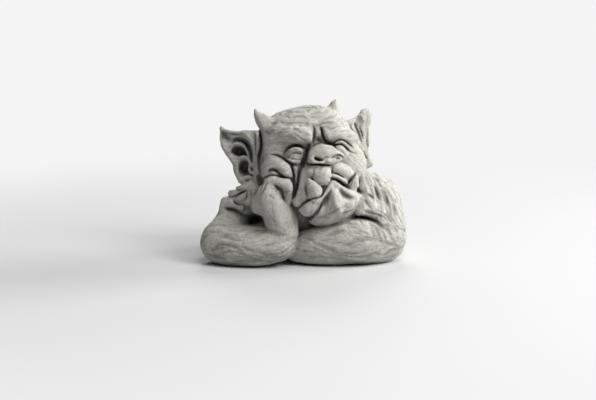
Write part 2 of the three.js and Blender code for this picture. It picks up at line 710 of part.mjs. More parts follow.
// The lofts, each with the shape of its socket
const WHITE_STONE = 0xbcbcb6;
const lofts = [
  { name: "right_eyeball", make: eyeball, group: headGroup },
  { name: "right_tusk", make: (grown) => spike(RIGHT_TUSK, grown), group: headGroup },
  { name: "left_tusk", make: (grown) => spike(LEFT_TUSK, grown), group: headGroup },
  { name: "right_horn", make: (grown) => spike(RIGHT_HORN, grown), group: headGroup },
  { name: "left_horn", make: (grown) => spike(LEFT_HORN, grown), group: headGroup },
  { name: "right_ear", make: ear, group: earGroup(-1, [-60, -8, 23], 38) },
  { name: "left_ear", make: ear, group: earGroup(1, [63, 2, 0], 24) },
];
statue.updateMatrixWorld(true);

// A geometry in a group as a solid in the statue's frame, and back again
function solidOf(geometry, group) {
  const placed = new THREE.BufferGeometry();
  placed.setAttribute("position", geometry.getAttribute("position").clone()).setIndex(geometry.index);
  placed.applyMatrix4(group.matrixWorld);
  const merged = mergeVertices(placed, 1e-4);
  const faces = new Uint32Array(merged.index.array);
  if (group.matrixWorld.determinant() < 0) {
    for (let i = 0; i < faces.length; i += 3) [faces[i + 1], faces[i + 2]] = [faces[i + 2], faces[i + 1]];
  }
  const { array } = merged.attributes.position;
  return new wasm.Manifold(new wasm.Mesh({ numProp: 3, vertProperties: array, triVerts: faces }));
}
function geometryOf(solid, group) {
  const { vertProperties, triVerts, numProp, numVert } = solid.getMesh();
  const places = Array.from({ length: 3 * numVert }, (_, i) =>
    vertProperties[Math.floor(i / 3) * numProp + (i % 3)]);
  const geometry = new THREE.BufferGeometry();
  geometry.setAttribute("position", new THREE.Float32BufferAttribute(places, 3));
  geometry.setIndex([...triVerts]);
  geometry.applyMatrix4(group.matrixWorld.clone().invert());
  geometry.computeVertexNormals();
  return geometry;
}

// Each mass is cut by the sockets, and by the masses before it where the seam between them is too crooked to
// keep them apart. Crumbs that a cut leaves are dropped.
const cutters = lofts.map(({ make, group }) => solidOf(make(SEAM_GAP), group));
for (const { name, make, group } of lofts) stone(name, make(), WHITE_STONE, group);
masses.forEach(({ name, colour }, m) => {
  const skin = new THREE.BufferGeometry().setFromPoints(corners(skins[m])).setIndex(skins[m].triangles.flat());
  const carved = cutters.reduce((solid, cutter) => solid.subtract(cutter), solidOf(skin, bodyGroup));
  const largest = carved.decompose().sort((p, q) => q.volume() - p.volume())[0];
  const group = m < body.length ? bodyGroup : headGroup;
  stone(name, geometryOf(largest, group), colour, group);
  cutters.push(largest);
});
const middle = new THREE.Box3().setFromObject(statue, true).getCenter(new THREE.Vector3());
statue.position.set(-middle.x, -middle.y, 0);

export default statue;
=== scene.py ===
"""A troll garden statue in weathered cast stone, modelled as clay is and then carved.

Masses such as the skull, a forearm or a lip are laid as clay on a lattice of points, which holds how far each
point is from a mass's skin. They melt into each other, folds are raised and lines are carved, and the lattice is
then skinned with one closed mesh for each mass. Sizes are in millimetres in the statue's own frame: +Z is up and
the troll looks towards -Y. Left and right are the troll's own.
"""

import logging
import math
from dataclasses import dataclass
from enum import Enum
from functools import partial
from typing import Callable, Iterable, Sequence

import bmesh
import bpy
import numpy as np
from mathutils import Matrix, Vector, noise


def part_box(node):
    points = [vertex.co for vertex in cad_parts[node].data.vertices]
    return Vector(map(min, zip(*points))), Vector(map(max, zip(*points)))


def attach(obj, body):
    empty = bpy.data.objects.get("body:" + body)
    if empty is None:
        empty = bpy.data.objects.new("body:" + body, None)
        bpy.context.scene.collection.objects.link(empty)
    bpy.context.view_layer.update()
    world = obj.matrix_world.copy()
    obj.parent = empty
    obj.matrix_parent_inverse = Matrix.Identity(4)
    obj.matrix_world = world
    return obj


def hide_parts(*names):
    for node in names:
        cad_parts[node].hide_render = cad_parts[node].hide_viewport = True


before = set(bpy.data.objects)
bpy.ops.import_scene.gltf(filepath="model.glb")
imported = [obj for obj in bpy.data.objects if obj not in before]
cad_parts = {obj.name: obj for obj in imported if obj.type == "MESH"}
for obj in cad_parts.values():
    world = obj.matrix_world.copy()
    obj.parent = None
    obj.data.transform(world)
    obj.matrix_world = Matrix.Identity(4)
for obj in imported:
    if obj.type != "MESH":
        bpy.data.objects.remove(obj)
log = logging.getLogger("troll_statue")

Point = tuple[float, float, float]
Path = Sequence[Sequence[float]]
Array = np.ndarray
Cut = tuple[float, float]  # width and depth of a line

MM = 0.001  # metres in a millimetre
FAR = 60.0  # a distance that stands for a point that no mass is near
STEPS = (1.0, 1.5)  # of the lattice, over the face and at most
REACH = 12.0  # how far round a mass its distance is worked out
TINY = 1e-6  # the least that anything is divided by
INSIDE = (0.02, 0.98)  # how near to its ends a line's taper runs, and a point of the skin to its cell's sides
BODY = "root"


# Frames and lattice


def turn_about(x: float, y: float, z: float) -> Array:
    """A turn by so many degrees about X, Y and Z."""
    about_x, about_y, about_z = (Matrix.Rotation(math.radians(angle), 3, axis) for angle, axis in zip((x, y, z), "XYZ"))
    return np.array(about_x @ about_y @ about_z)


@dataclass(frozen=True)
class Frame:
    """A place and turn that masses are written in, such as the head's.

    Attributes:
        place: the frame's origin in the statue.
        yaw: degrees about Z, towards the troll's left.
        tilt: degrees about Y, towards the fist.
        pitch: degrees about X, which lean the frame back.
    """

    place: Point = (0.0, 0.0, 0.0)
    yaw: float = 0.0
    tilt: float = 0.0
    pitch: float = 0.0

    @property
    def axes(self) -> Array:
        """The frame's axes as columns."""
        return turn_about(-self.pitch, -self.tilt, self.yaw)

    def to_statue(self, points: Array) -> Array:
        """Points of this frame in the statue's frame."""
        return np.asarray(points, float) @ self.axes.T + np.array(self.place)


STATUE = Frame()
HEAD = Frame(place=(3.0, -8.0, 146.0), yaw=18.0, tilt=10.5)


def window(axes: Sequence[Array], low: Iterable[float], high: Iterable[float]) -> tuple[slice, ...]:
    """The stretches of the axes that hold a box, with a point to spare.

    Args:
        axes: the places of a block's points along X, Y and Z.
        low, high: the box's corners.

    Returns:
        A slice of each axis.
    """
    return tuple(
        slice(max(0, int(np.searchsorted(axis, a)) - 1), min(len(axis), int(np.searchsorted(axis, b)) + 1))
        for axis, a, b in zip(axes, low, high)
    )


def is_empty(where: tuple[slice, ...]) -> bool:
    """True if a part of a block holds no points."""
    return min(s.stop - s.start for s in where) < 1


class Lattice:
    """A box of points, closest together over the face and wider apart towards the back.

    Attributes:
        axes: the places of the points along X, Y and Z.
        shape: how many points there are along each.
    """

    LOW: Point = (-146.0, -106.0, -7.0)
    HIGH: Point = (146.0, 106.0, 222.0)
    FINE_LOW: Point = (-62.0, -106.0, 76.0)
    FINE_HIGH: Point = (84.0, -38.0, 196.0)
    GROWTH = 1.03  # of each step over the one before it, outside the fine stretch

    def __init__(self, fine: float, coarse: float) -> None:
        """Places the points.

        Args:
            fine: the step over the face.
            coarse: the widest step.
        """
        self.axes = [
            self._stretch(low, start, end, high, fine, coarse)
            for low, start, end, high in zip(self.LOW, self.FINE_LOW, self.FINE_HIGH, self.HIGH)
        ]
        self.shape = tuple(len(axis) for axis in self.axes)

    def _stretch(self, low: float, start: float, end: float, high: float, fine: float, coarse: float) -> Array:
        """The places along one axis.

        Args:
            low, high: where it starts and ends.
            start, end: the stretch over the face.
            fine, coarse: the step there, and the widest.

        Returns:
            The places, from the lowest to the highest.
        """
        inner = list(np.arange(start, end + fine / 2, fine))
        for side, limit in ((-1, low), (1, high)):
            step = fine
            place = inner[0] if side < 0 else inner[-1]
            while side * (limit - place) > 0:
                step = min(coarse, step * self.GROWTH)
                place += side * step
                inner.insert(0 if side < 0 else len(inner), place)
        return np.array(inner, np.float32)


# Shapes


def smooth(path: Path, per_span: int = 5) -> Array:
    """A centripetal curve through the points of a path, with any further values carried along.

    Args:
        path: at least two points, each with two or more numbers.
        per_span: how many steps there are from one point to the next.

    Returns:
        The curve's points, one a row.
    """
    knots = np.array(path, float)
    knots = np.vstack([2 * knots[0] - knots[1], knots, 2 * knots[-1] - knots[-2]])
    rows = []
    for i in range(1, len(knots) - 2):
        p0, p1, p2, p3 = knots[i - 1:i + 3]
        d0, d1, d2 = (max(1e-3, float(np.linalg.norm((b - a)[:3]))) ** 0.5 for a, b in ((p0, p1), (p1, p2), (p2, p3)))
        m1 = d1 * ((p1 - p0) / d0 - (p2 - p0) / (d0 + d1) + (p2 - p1) / d1)
        m2 = d1 * ((p2 - p1) / d1 - (p3 - p1) / (d1 + d2) + (p3 - p2) / d2)
        t = np.arange(per_span)[:, None] / per_span
        rows.append(
            p1 * (2 * t ** 3 - 3 * t ** 2 + 1) + m1 * (t ** 3 - 2 * t ** 2 + t)
            + p2 * (3 * t ** 2 - 2 * t ** 3) + m2 * (t ** 3 - t ** 2)
        )
    return np.vstack(rows + [knots[-2:-1]])


def from_place(points: Sequence[Array], place: Iterable[float]) -> list[Array]:
    """How far points are from a place along each axis."""
    return [p - np.float32(c) for p, c in zip(points, place)]


def turned(offset: Sequence[Array], turn: Array) -> list[Array]:
    """Offsets along the columns of a turn."""
    return [offset[0] * turn[0, i] + offset[1] * turn[1, i] + offset[2] * turn[2, i] for i in range(3)]


def beside(offset: Sequence[Array], way: Sequence[np.float32]) -> tuple[Array, Array]:
    """Where points lie beside a straight stretch.

    Args:
        offset: how far they are from its start along each axis.
        way: how far its end is.

    Returns:
        How far along it they are, from 0 to 1, and the square of their gap from it.
    """
    none = np.float32(0)
    length = max(TINY, sum((u * u for u in way), none))
    share = np.clip(sum((o * u for o, u in zip(offset, way)), none) / length, 0, 1)
    return share, sum(((o - share * u) ** 2 for o, u in zip(offset, way)), none)


def taper(share: Array, blunt: float) -> Array:
    """How much of its depth a line keeps at a share of its length."""
    return np.sin(np.pi * np.clip(share, *INSIDE)) ** np.float32(blunt)


class Shape:
    """A form that clay is laid in, or that a tool has, with a box round it."""

    def parts(self) -> list["Shape"]:
        """What its distance is worked out from, which is itself alone unless it is made of several."""
        return [self]


@dataclass(frozen=True)
class Ball(Shape):
    """A ball, egg or pebble.

    Attributes:
        centre: its middle.
        radii: one radius, or one along each of its axes.
        turn: degrees about X, Y and Z.
        squareness: 2 when round and more when boxy.
    """

    centre: Point
    radii: float | Point
    turn: Point = (0.0, 0.0, 0.0)
    squareness: float = 2.0

    @property
    def _radii(self) -> Point:
        """The three radii."""
        return self.radii if isinstance(self.radii, tuple) else (self.radii,) * 3

    def box(self) -> tuple[Array, Array]:
        """Its lowest and highest corner."""
        centre, reach = np.array(self.centre), max(self._radii)
        return centre - reach, centre + reach

    def distance(self, points: Sequence[Array]) -> Array:
        """About how far points are from the skin.

        Args:
            points: their X, Y and Z.

        Returns:
            The distances, negative inside.
        """
        across = turned(from_place(points, self.centre), turn_about(*self.turn).astype(np.float32))
        along = [np.abs(a) / np.float32(r) for a, r in zip(across, self._radii)]
        powers = along if self.squareness == 2 else [a ** (self.squareness - 1) for a in along]
        size = sum(a * p for a, p in zip(along, powers)) ** (1 / self.squareness)
        slope = np.sqrt(sum((p / r) ** 2 for p, r in zip(powers, self._radii)))
        return (size - 1) * np.maximum(size, TINY) ** (self.squareness - 1) / np.maximum(slope, TINY)


@dataclass(frozen=True)
class Segment(Shape):
    """A straight stretch of a limb.

    Attributes:
        start, end: x, y, z and radius at both ends.
    """

    start: Array
    end: Array

    def box(self) -> tuple[Array, Array]:
        """Its lowest and highest corner."""
        reach = max(self.start[3], self.end[3])
        return np.minimum(self.start, self.end)[:3] - reach, np.maximum(self.start, self.end)[:3] + reach

    def distance(self, points: Sequence[Array]) -> Array:
        """How far points are from the skin.

        Args:
            points: their X, Y and Z.

        Returns:
            The distances, negative inside.
        """
        way = (self.end - self.start).astype(np.float32)
        share, square = beside(from_place(points, self.start), way[:3])
        return np.sqrt(square) - np.float32(self.start[3]) - share * way[3]


@dataclass(frozen=True)
class Limb(Shape):
    """A limb, lip or fold: round, with its own radius at each point of its path.

    Attributes:
        path: points as x, y, z and radius.
    """

    path: Path

    def parts(self) -> list[Shape]:
        """The straight stretches that it is made of."""
        points = smooth(self.path)
        return [Segment(a, b) for a, b in zip(points[:-1], points[1:])]

    def box(self) -> tuple[Array, Array]:
        """Its lowest and highest corner."""
        boxes = [part.box() for part in self.parts()]
        return np.min([low for low, _ in boxes], axis=0), np.max([high for _, high in boxes], axis=0)


def melted(a: Array, b: Array, width: float) -> Array:
    """Two distances joined into one, rounded over a width where they meet."""
    close = np.maximum(np.float32(width) - np.abs(a - b), 0) / np.float32(width)
    return np.minimum(a, b) - close * close * np.float32(width / 4)


# The board that marks are drawn on


@dataclass(frozen=True)
class Board:
    """A board across the troll's front. A mark on it is cut or raised in the clay that is seen behind it.

    Attributes:
        middle: the point that the statue is looked at, where the board's own coordinates are nought.
        distance: from the eye to the middle.
        elevation: degrees that the eye looks down by.
    """

    middle: Point = (-6.5, -40.0, 84.7)
    distance: float = 1800.0
    elevation: float = 11.0

    @property
    def back(self) -> Array:
        """The direction from the middle to the eye."""
        e = math.radians(self.elevation)
        return np.array([0.0, -math.cos(e), math.sin(e)])

    @property
    def upward(self) -> Array:
        """The board's own upward direction."""
        e = math.radians(self.elevation)
        return np.array([0.0, math.sin(e), math.cos(e)])

    def seen(self, x: Array, y: Array, z: Array) -> tuple[Array, Array, Array]:
        """Where points of the statue appear.

        Args:
            x, y, z: the points in the statue's frame.

        Returns:
            How far across and up the board they are seen, and how far in front of it they lie.
        """
        dx, dy, dz = from_place((x, y, z), self.middle)
        _, by, bz = (np.float32(v) for v in self.back)
        nearness = dy * by + dz * bz
        scale = np.float32(self.distance) / (np.float32(self.distance) - nearness)
        return dx * scale, (dy * np.float32(self.upward[1]) + dz * np.float32(self.upward[2])) * scale, nearness

    def behind(self, across: float, up: float, nearness: float) -> Array:
        """The point that is seen at a place on the board.

        Args:
            across, up: the place.
            nearness: how far in front of the board the point lies.

        Returns:
            The point in the statue's frame.
        """
        share = (self.distance - nearness) / self.distance
        offset = np.array([across * share, 0.0, 0.0]) + self.upward * up * share + self.back * nearness
        return np.array(self.middle) + offset


FRONT = Board()
FACE = Frame(place=FRONT.middle, pitch=FRONT.elevation)


def roll(*path: tuple[float, float, float, float]) -> Limb:
    """A roll of clay behind the board.

    Args:
        *path: points as how far across and up the board they are seen, how far in front of it they lie, and radius.

    Returns:
        The roll, in the face's frame.
    """
    shares = [(FRONT.distance - near) / FRONT.distance for _, _, near, _ in path]
    return Limb([(a * s, -near, u * s, radius) for (a, u, near, radius), s in zip(path, shares)])


def lump(across: float, up: float, near: float, radii: float | Point, turn: float = 0.0) -> Ball:
    """A lump of clay behind the board.

    Args:
        across, up: where it is seen.
        near: how far in front of the board it lies.
        radii: one radius, or its radii across, deep and up.
        turn: degrees that it is turned by, clockwise as seen.

    Returns:
        The lump, in the face's frame.
    """
    share = (FRONT.distance - near) / FRONT.distance
    return Ball((across * share, -near, up * share), radii, (0.0, turn, 0.0))


class Mark(Enum):
    """What a line does to the clay: its sign, and the power that shapes its section."""

    GROOVE = (1.0, 1.35)
    DENT = (1.0, 2.0)
    RIDGE = (-1.0, 2.0)

    @property
    def sign(self) -> float:
        """1 where it takes clay away and -1 where it adds some."""
        return self.value[0]

    def section(self, gap: Array) -> Array:
        """How much of its depth a line keeps so many widths from its middle."""
        return np.exp(-gap ** np.float32(self.value[1]))


# Clay


class Clay:
    """One mass of the statue: how far each lattice point near it is from its skin, negative inside.

    Attributes:
        name: the mass's node.
        frame: the frame that its shapes are written in.
        span: its block of the lattice.
        axes: the places of the block's points along X, Y and Z.
        d: the distances in that block.
        cut: how deep a line is cut at each of its points.
        melt: the width over which it melts into the masses laid before it.
    """

    DRAWN = 2.6  # widths to the side that a drawn line is worked out to
    STAMPED = 2.4  # and a stamped one
    LEAST_SLOPE = 0.3  # of the distance, where a point is moved onto the skin

    def __init__(
        self, lattice: Lattice, name: str, low: Point, high: Point, written_in: Frame = STATUE, melt: float = 3.0
    ) -> None:
        """Clears a block for a mass.

        Args:
            lattice: the lattice of the whole statue.
            name: the mass's node.
            low, high: the corners of a box that it keeps inside.
            written_in: the frame of its shapes.
            melt: the width over which it melts into the masses laid before it.
        """
        self.name = name
        self.melt = melt
        self.frame = written_in
        self.span = window(lattice.axes, low, high)
        self.axes = [axis[s] for axis, s in zip(lattice.axes, self.span)]
        self.d = np.full([len(axis) for axis in self.axes], FAR, np.float32)
        self.cut = np.zeros_like(self.d)
        self._change: dict[Mark, Array] = {}

    def _block(self, corners: Array) -> tuple[slice, ...]:
        """The part of the block that holds a set of points of the statue's frame."""
        return window(self.axes, corners.min(axis=0), corners.max(axis=0))

    def _near(self, shape: Shape, reach: float, written_in: Frame) -> tuple[slice, ...]:
        """The part of the block round a shape.

        Args:
            shape: the shape.
            reach: how far round its box the part goes.
            written_in: the frame that the shape is written in.

        Returns:
            The part, as a slice of each axis.
        """
        low, high = shape.box()
        low, high = low - reach, high + reach
        corners = np.array([[x, y, z] for x in (low[0], high[0]) for y in (low[1], high[1]) for z in (low[2], high[2])])
        return self._block(written_in.to_statue(corners))

    def places(self, where: tuple[slice, ...]) -> list[Array]:
        """The X, Y and Z of a part of the block, each along its own direction."""
        return [axis[s].reshape([-1 if i == a else 1 for i in range(3)])
                for a, (axis, s) in enumerate(zip(self.axes, where))]

    def _places_in(self, where: tuple[slice, ...], written_in: Frame) -> list[Array]:
        """The X, Y and Z of a part of the block in a frame.

        Args:
            where: the part.
            written_in: the frame.

        Returns:
            Three arrays.
        """
        points = self.places(where)
        if written_in == STATUE:
            return points
        return turned(from_place(points, written_in.place), written_in.axes.astype(np.float32))

    def _measure(self, shape: Shape, reach: float, written_in: Frame) -> tuple[tuple[slice, ...], Array]:
        """Works out the distance to a shape.

        Args:
            shape: the shape.
            reach: how far round it.
            written_in: the frame that it is written in.

        Returns:
            The part of the block round the shape, and the distance there.
        """
        where = self._near(shape, reach, written_in)
        found = np.full([max(0, s.stop - s.start) for s in where], FAR, np.float32)
        for part in shape.parts():
            near = self._near(part, reach, written_in)
            inner = tuple(slice(n.start - w.start, n.stop - w.start) for n, w in zip(near, where))
            if not is_empty(near):
                found[inner] = np.minimum(found[inner], part.distance(self._places_in(near, written_in)))
        return where, found

    def add(self, *shapes: Shape, melt: float = 6.0, written_in: Frame | None = None) -> None:
        """Lays shapes on the mass.

        Args:
            *shapes: the shapes.
            melt: the width over which each melts in.
            written_in: their frame, where it isn't the mass's own.
        """
        for shape in shapes:
            where, found = self._measure(shape, REACH + melt, written_in or self.frame)
            self.d[where] = melted(self.d[where], found, melt)

    def press(self, *tools: Shape, melt: float = 3.0, written_in: Frame | None = None) -> None:
        """Presses tools into the mass.

        Args:
            *tools: the tools' shapes.
            melt: the width over which the rims are rounded.
            written_in: their frame, where it isn't the mass's own.
        """
        for tool in tools:
            where, found = self._measure(tool, REACH + melt, written_in or self.frame)
            self.d[where] = -melted(-self.d[where], found, melt)

    def _changes(self, mark: Mark) -> Array:
        """How deep each point is under marks of a kind so far.

        Args:
            mark: the kind.

        Returns:
            The depths, which may be changed.
        """
        if mark not in self._change:
            self._change[mark] = np.zeros_like(self.d)
        return self._change[mark]

    def draw(
        self, mark: Mark, path: Path, width: float, depth: float, near: float = 130.0, far: float = -10.0,
        blunt: float = 0.5,
    ) -> None:
        """Cuts or raises a line that is drawn on the board.

        Args:
            mark: what the line does.
            path: its points, across and up the board.
            width: from its middle to where it has faded to a third.
            depth: how deep or high it is in its middle.
            near, far: how far in front of the board it starts and ends.
            blunt: 0 where it keeps its depth to its ends, and more the longer it tapers.
        """
        line = smooth(path, 4)
        margin = self.DRAWN * width
        low, high = line.min(axis=0) - margin, line.max(axis=0) + margin
        where = self._block(np.array([
            FRONT.behind(a, b, n) for a in (low[0], high[0]) for b in (low[1], high[1]) for n in (near, far)
        ]))
        if is_empty(where):
            return
        *seen, nearness = FRONT.seen(*self.places(where))
        best = np.zeros(seen[0].shape, np.float32)
        flat = line[:, :2].astype(np.float32)
        steps = len(flat) - 1
        for i in range(steps):
            share, square = beside(from_place(seen, flat[i]), flat[i + 1] - flat[i])
            gap = np.sqrt(square) / np.float32(width)
            best = np.maximum(best, taper((i + share) / steps, blunt) * mark.section(gap))
        best *= (nearness < near) & (nearness > far)
        changes = self._changes(mark)
        changes[where] = np.maximum(changes[where], np.float32(depth) * best)

    def draw_all(self, mark: Mark, lines: Iterable[tuple[Path, float, float]], **limits: float) -> None:
        """Draws lines of a kind, each given as its path, width and depth, within the same limits."""
        for path, width, depth in lines:
            self.draw(mark, path, width, depth, **limits)

    def sample(self, points: Array) -> tuple[Array, Array]:
        """The distance, and its slope, at points of the statue's frame.

        Args:
            points: one point a row.

        Returns:
            The distances, and the slopes as rows.
        """
        value = np.zeros(len(points))
        slope = np.zeros((len(points), 3))
        base, share, step = [], [], []
        for a, axis in enumerate(self.axes):
            i = np.clip(np.searchsorted(axis, points[:, a]) - 1, 0, len(axis) - 2)
            width = axis[i + 1] - axis[i]
            base.append(i)
            step.append(width)
            share.append(np.clip((points[:, a] - axis[i]) / width, 0, 1))
        for corner in range(8):
            bits = [(corner >> a) & 1 for a in range(3)]
            found = self.d[tuple(base[a] + bits[a] for a in range(3))]
            weights = [share[a] if bits[a] else 1 - share[a] for a in range(3)]
            value += found * weights[0] * weights[1] * weights[2]
            for a in range(3):
                others = weights[(a + 1) % 3] * weights[(a + 2) % 3]
                slope[:, a] += found * others * (1 if bits[a] else -1) / step[a]
        return value, slope

    def trace(
        self, starts: Array, flow: Callable[[Array], Array], length: float, step: float = 4.0
    ) -> list[Array]:
        """Lines that start near the skin and run along it with a flow.

        Args:
            starts: where the lines start, one a row.
            flow: gives the direction of the flow at points.
            length: how long the lines are.
            step: the distance between a line's points.

        Returns:
            The lines, each with a point a row.
        """
        points = starts.astype(float).copy()
        for _ in range(8):
            self._bring_onto_skin(points)
        value, _ = self.sample(points)
        points = points[np.abs(value) < 0.5]
        rows = [points.copy()]
        for _ in range(max(1, round(length / step))):
            _, slope = self.sample(points)
            normal = slope / np.maximum(TINY, np.linalg.norm(slope, axis=1))[:, None]
            way = flow(points)
            way = way - normal * (way * normal).sum(axis=1)[:, None]
            way /= np.maximum(TINY, np.linalg.norm(way, axis=1))[:, None]
            points = points + way * step
            self._bring_onto_skin(points)
            rows.append(points.copy())
        return list(np.stack(rows, axis=1))

    def _bring_onto_skin(self, points: Array) -> None:
        """Moves points most of the way onto the skin."""
        value, slope = self.sample(points)
        points -= slope * (value / np.maximum(self.LEAST_SLOPE, (slope ** 2).sum(axis=1)))[:, None]

    def stamp(self, mark: Mark, line: Array, width: float, depth: float, blunt: float = 0.7) -> None:
        """Cuts or raises a line that lies on the skin.

        Args:
            mark: what the line does.
            line: its points, one a row.
            width: from its middle to where it has faded to a third.
            depth: how deep or high it is in its middle.
            blunt: 0 where it keeps its depth to its ends, and more the longer it tapers.
        """
        changes = self._changes(mark)
        steps = len(line) - 1
        margin = self.STAMPED * width
        for i in range(steps):
            start, end = line[i], line[i + 1]
            where = self._block(np.array([np.minimum(start, end) - margin, np.maximum(start, end) + margin]))
            if not is_empty(where):
                share, square = beside(from_place(self.places(where), start), (end - start).astype(np.float32))
                gap = np.sqrt(square) / np.float32(width)
                value = taper((i + share) / steps, blunt) * np.float32(depth) * mark.section(gap)
                changes[where] = np.maximum(changes[where], value)

    def settle(self) -> None:
        """Works the marks made so far into the clay, so that later ones lie on top of them."""
        for mark in Mark:
            if mark in self._change:
                change = self._change.pop(mark)
                self.d += np.float32(mark.sign) * change
                if mark is not Mark.RIDGE:
                    np.maximum(self.cut, change, out=self.cut)


# The skin over the clay


CORNERS = np.array([[(i >> a) & 1 for a in range(3)] for i in range(8)])
EDGES = [(i, i | (1 << a)) for i in range(8) for a in range(3) if not (i >> a) & 1]


def _whole(corners: set[int]) -> bool:
    """True if some corners of a cell hang together along its edges.

    Args:
        corners: their numbers.

    Returns:
        Whether they do.
    """
    if not corners:
        return True
    reached, fresh = set(), {min(corners)}
    while fresh:
        reached |= fresh
        fresh = {c ^ (1 << a) for c in fresh for a in range(3)} & corners - reached
    return reached == corners


def _sound_cells() -> Array:
    """Finds the cells that one sheet of skin can part.

    Returns:
        For each set of a cell's corners, written as bits, whether a sheet can part it from the rest.
    """
    sound = np.zeros(256, bool)
    for bits in range(256):
        inside = {i for i in range(8) if (bits >> i) & 1}
        sides = (inside, set(range(8)) - inside)
        crossed = any(
            not _whole({i for i in corners if (i >> a) & 1 == side})
            for corners in sides for a in range(3) for side in (0, 1)
        )
        sound[bits] = _whole(inside) and _whole(sides[1]) and not crossed
    return sound


class Statue:
    """All the masses, melted into one another, and the skin over them.

    Attributes:
        lattice: the lattice of the whole statue.
        whole: the melted clay, which marks can be made in as in one mass.
        nearest: how far each lattice point is from the nearest mass.
        owner: the number of that mass, from 1, or 0 where none is near.
        names: the masses' nodes, in the order in which they were laid.
        points: the skin's points, one a row.
        is_open: whether each of them lies on the outside, and not only between two masses.
        normals: the skin's outward direction at each of its points.
        faces: the four points round each face.
        face_owner: the number of the mass that each face belongs to.
        face_open: whether each face lies on the outside.
        shade: for each point, how deep it lies in a narrow and in a wide hollow, and how deep a line is cut there.
    """

    MEND_ROUNDS = 40
    PATIENCE = 18  # rounds of mending by single points, before a whole cell is given to one mass
    LEAST_SLOPE = 0.2  # of the distance, where a point is moved onto the clay's surface
    EVENNESS = 0.6  # how far a point moves to the middle of its neighbours in a round

    def __init__(self, lattice: Lattice) -> None:
        """Starts with nothing.

        Args:
            lattice: the lattice of the whole statue.
        """
        self.lattice = lattice
        self.whole = Clay(lattice, "statue", lattice.LOW, lattice.HIGH)
        self.nearest = np.full(lattice.shape, FAR, np.float32)
        self.owner = np.zeros(lattice.shape, np.uint8)
        self.names: list[str] = []

    def join(self, clay: Clay) -> None:
        """Melts a mass into those laid before it.

        Args:
            clay: the mass.
        """
        clay.settle()
        self.names.append(clay.name)
        self.whole.d[clay.span] = melted(self.whole.d[clay.span], clay.d, clay.melt)
        near, owner = self.nearest[clay.span], self.owner[clay.span]
        deeper = clay.d < near
        owner[deeper] = len(self.names)
        near[deeper] = clay.d[deeper]
        self.whole.cut[clay.span][deeper] = clay.cut[deeper]

    def _regions(self, labels: Array) -> Array:
        """A number for each stretch of lattice points that hang together and have one label.

        Args:
            labels: the mass that each point is in, or 0.

        Returns:
            The numbers, in the same shape.
        """
        numbers = np.arange(labels.size, dtype=np.int32).reshape(labels.shape)
        while True:
            before = numbers
            for axis in range(3):
                line = np.moveaxis(labels, axis, -1)
                edge = np.ones(line.shape, bool)
                edge[..., 1:] = line[..., 1:] != line[..., :-1]
                starts = np.flatnonzero(edge)
                found = np.ascontiguousarray(np.moveaxis(numbers, axis, -1))
                least = np.minimum.reduceat(found.ravel(), starts)
                spread = np.repeat(least, np.diff(np.append(starts, edge.size))).reshape(line.shape)
                numbers = np.ascontiguousarray(np.moveaxis(spread, -1, axis))
            if np.array_equal(before, numbers):
                return numbers

    def _drop_crumbs(self, labels: Array) -> None:
        """Gives what hangs apart from the largest part of its mass to the mass round it.

        Args:
            labels: the mass that each point is in, or 0, which are changed.
        """
        regions = self._regions(labels)
        sizes = np.bincount(regions.ravel())
        roots = np.flatnonzero(sizes)
        root_labels = labels.ravel()[roots]
        crumbs = np.zeros(len(sizes), bool)
        for label in range(len(self.names) + 1):
            own = roots[root_labels == label]
            if len(own):
                crumbs[own] = True
                crumbs[own[np.argmax(sizes[own])]] = False
        loose = crumbs[regions]
        while loose.any():
            where = np.argwhere(loose)
            votes = np.zeros((len(where), len(self.names) + 1), np.int8)
            for axis in range(3):
                for side in (-1, 1):
                    other = where.copy()
                    other[:, axis] = np.clip(other[:, axis] + side, 0, labels.shape[axis] - 1)
                    place = tuple(other.T)
                    fits = np.flatnonzero(~loose[place])
                    votes[fits, labels[place][fits]] += 1
            known = votes.any(axis=1)
            if not known.any():
                return
            inside = labels[tuple(where.T)] > 0
            votes[inside, 1:] *= 8
            done = tuple(where[known].T)
            labels[done] = votes[known].argmax(axis=1)
            loose[done] = False

    def _mend(self, labels: Array) -> int:
        """Relabels single lattice points until each cell can be skinned.

        Args:
            labels: the mass that each point is in, or 0.

        Returns:
            How many cells are left that can't be.
        """
        sound = _sound_cells()
        flat = labels.ravel()
        strides = np.array([labels.shape[1] * labels.shape[2], labels.shape[2], 1])
        offsets = CORNERS @ strides
        depth = np.abs(self.whole.d).ravel()
        left = 0
        for turn in range(self.MEND_ROUNDS):
            cells = self._active(labels) @ strides
            corners = flat[cells[:, None] + offsets]
            bad = np.zeros(len(cells), bool)
            for label in range(len(self.names) + 1):
                bits = ((corners == label) << np.arange(8)).sum(axis=1)
                bad |= ~sound[bits]
            left = int(bad.sum())
            if not left:
                break
            for cell in cells[bad]:
                place = cell + offsets
                here = flat[place]
                if turn > self.PATIENCE:
                    flat[place] = np.bincount(here).argmax()
                    continue
                for label in set(here.tolist()):
                    bits = int(((here == label) << np.arange(8)).sum())
                    if sound[bits]:
                        continue
                    self._mend_cell(flat, place, label, depth, sound)
                    break
        return left

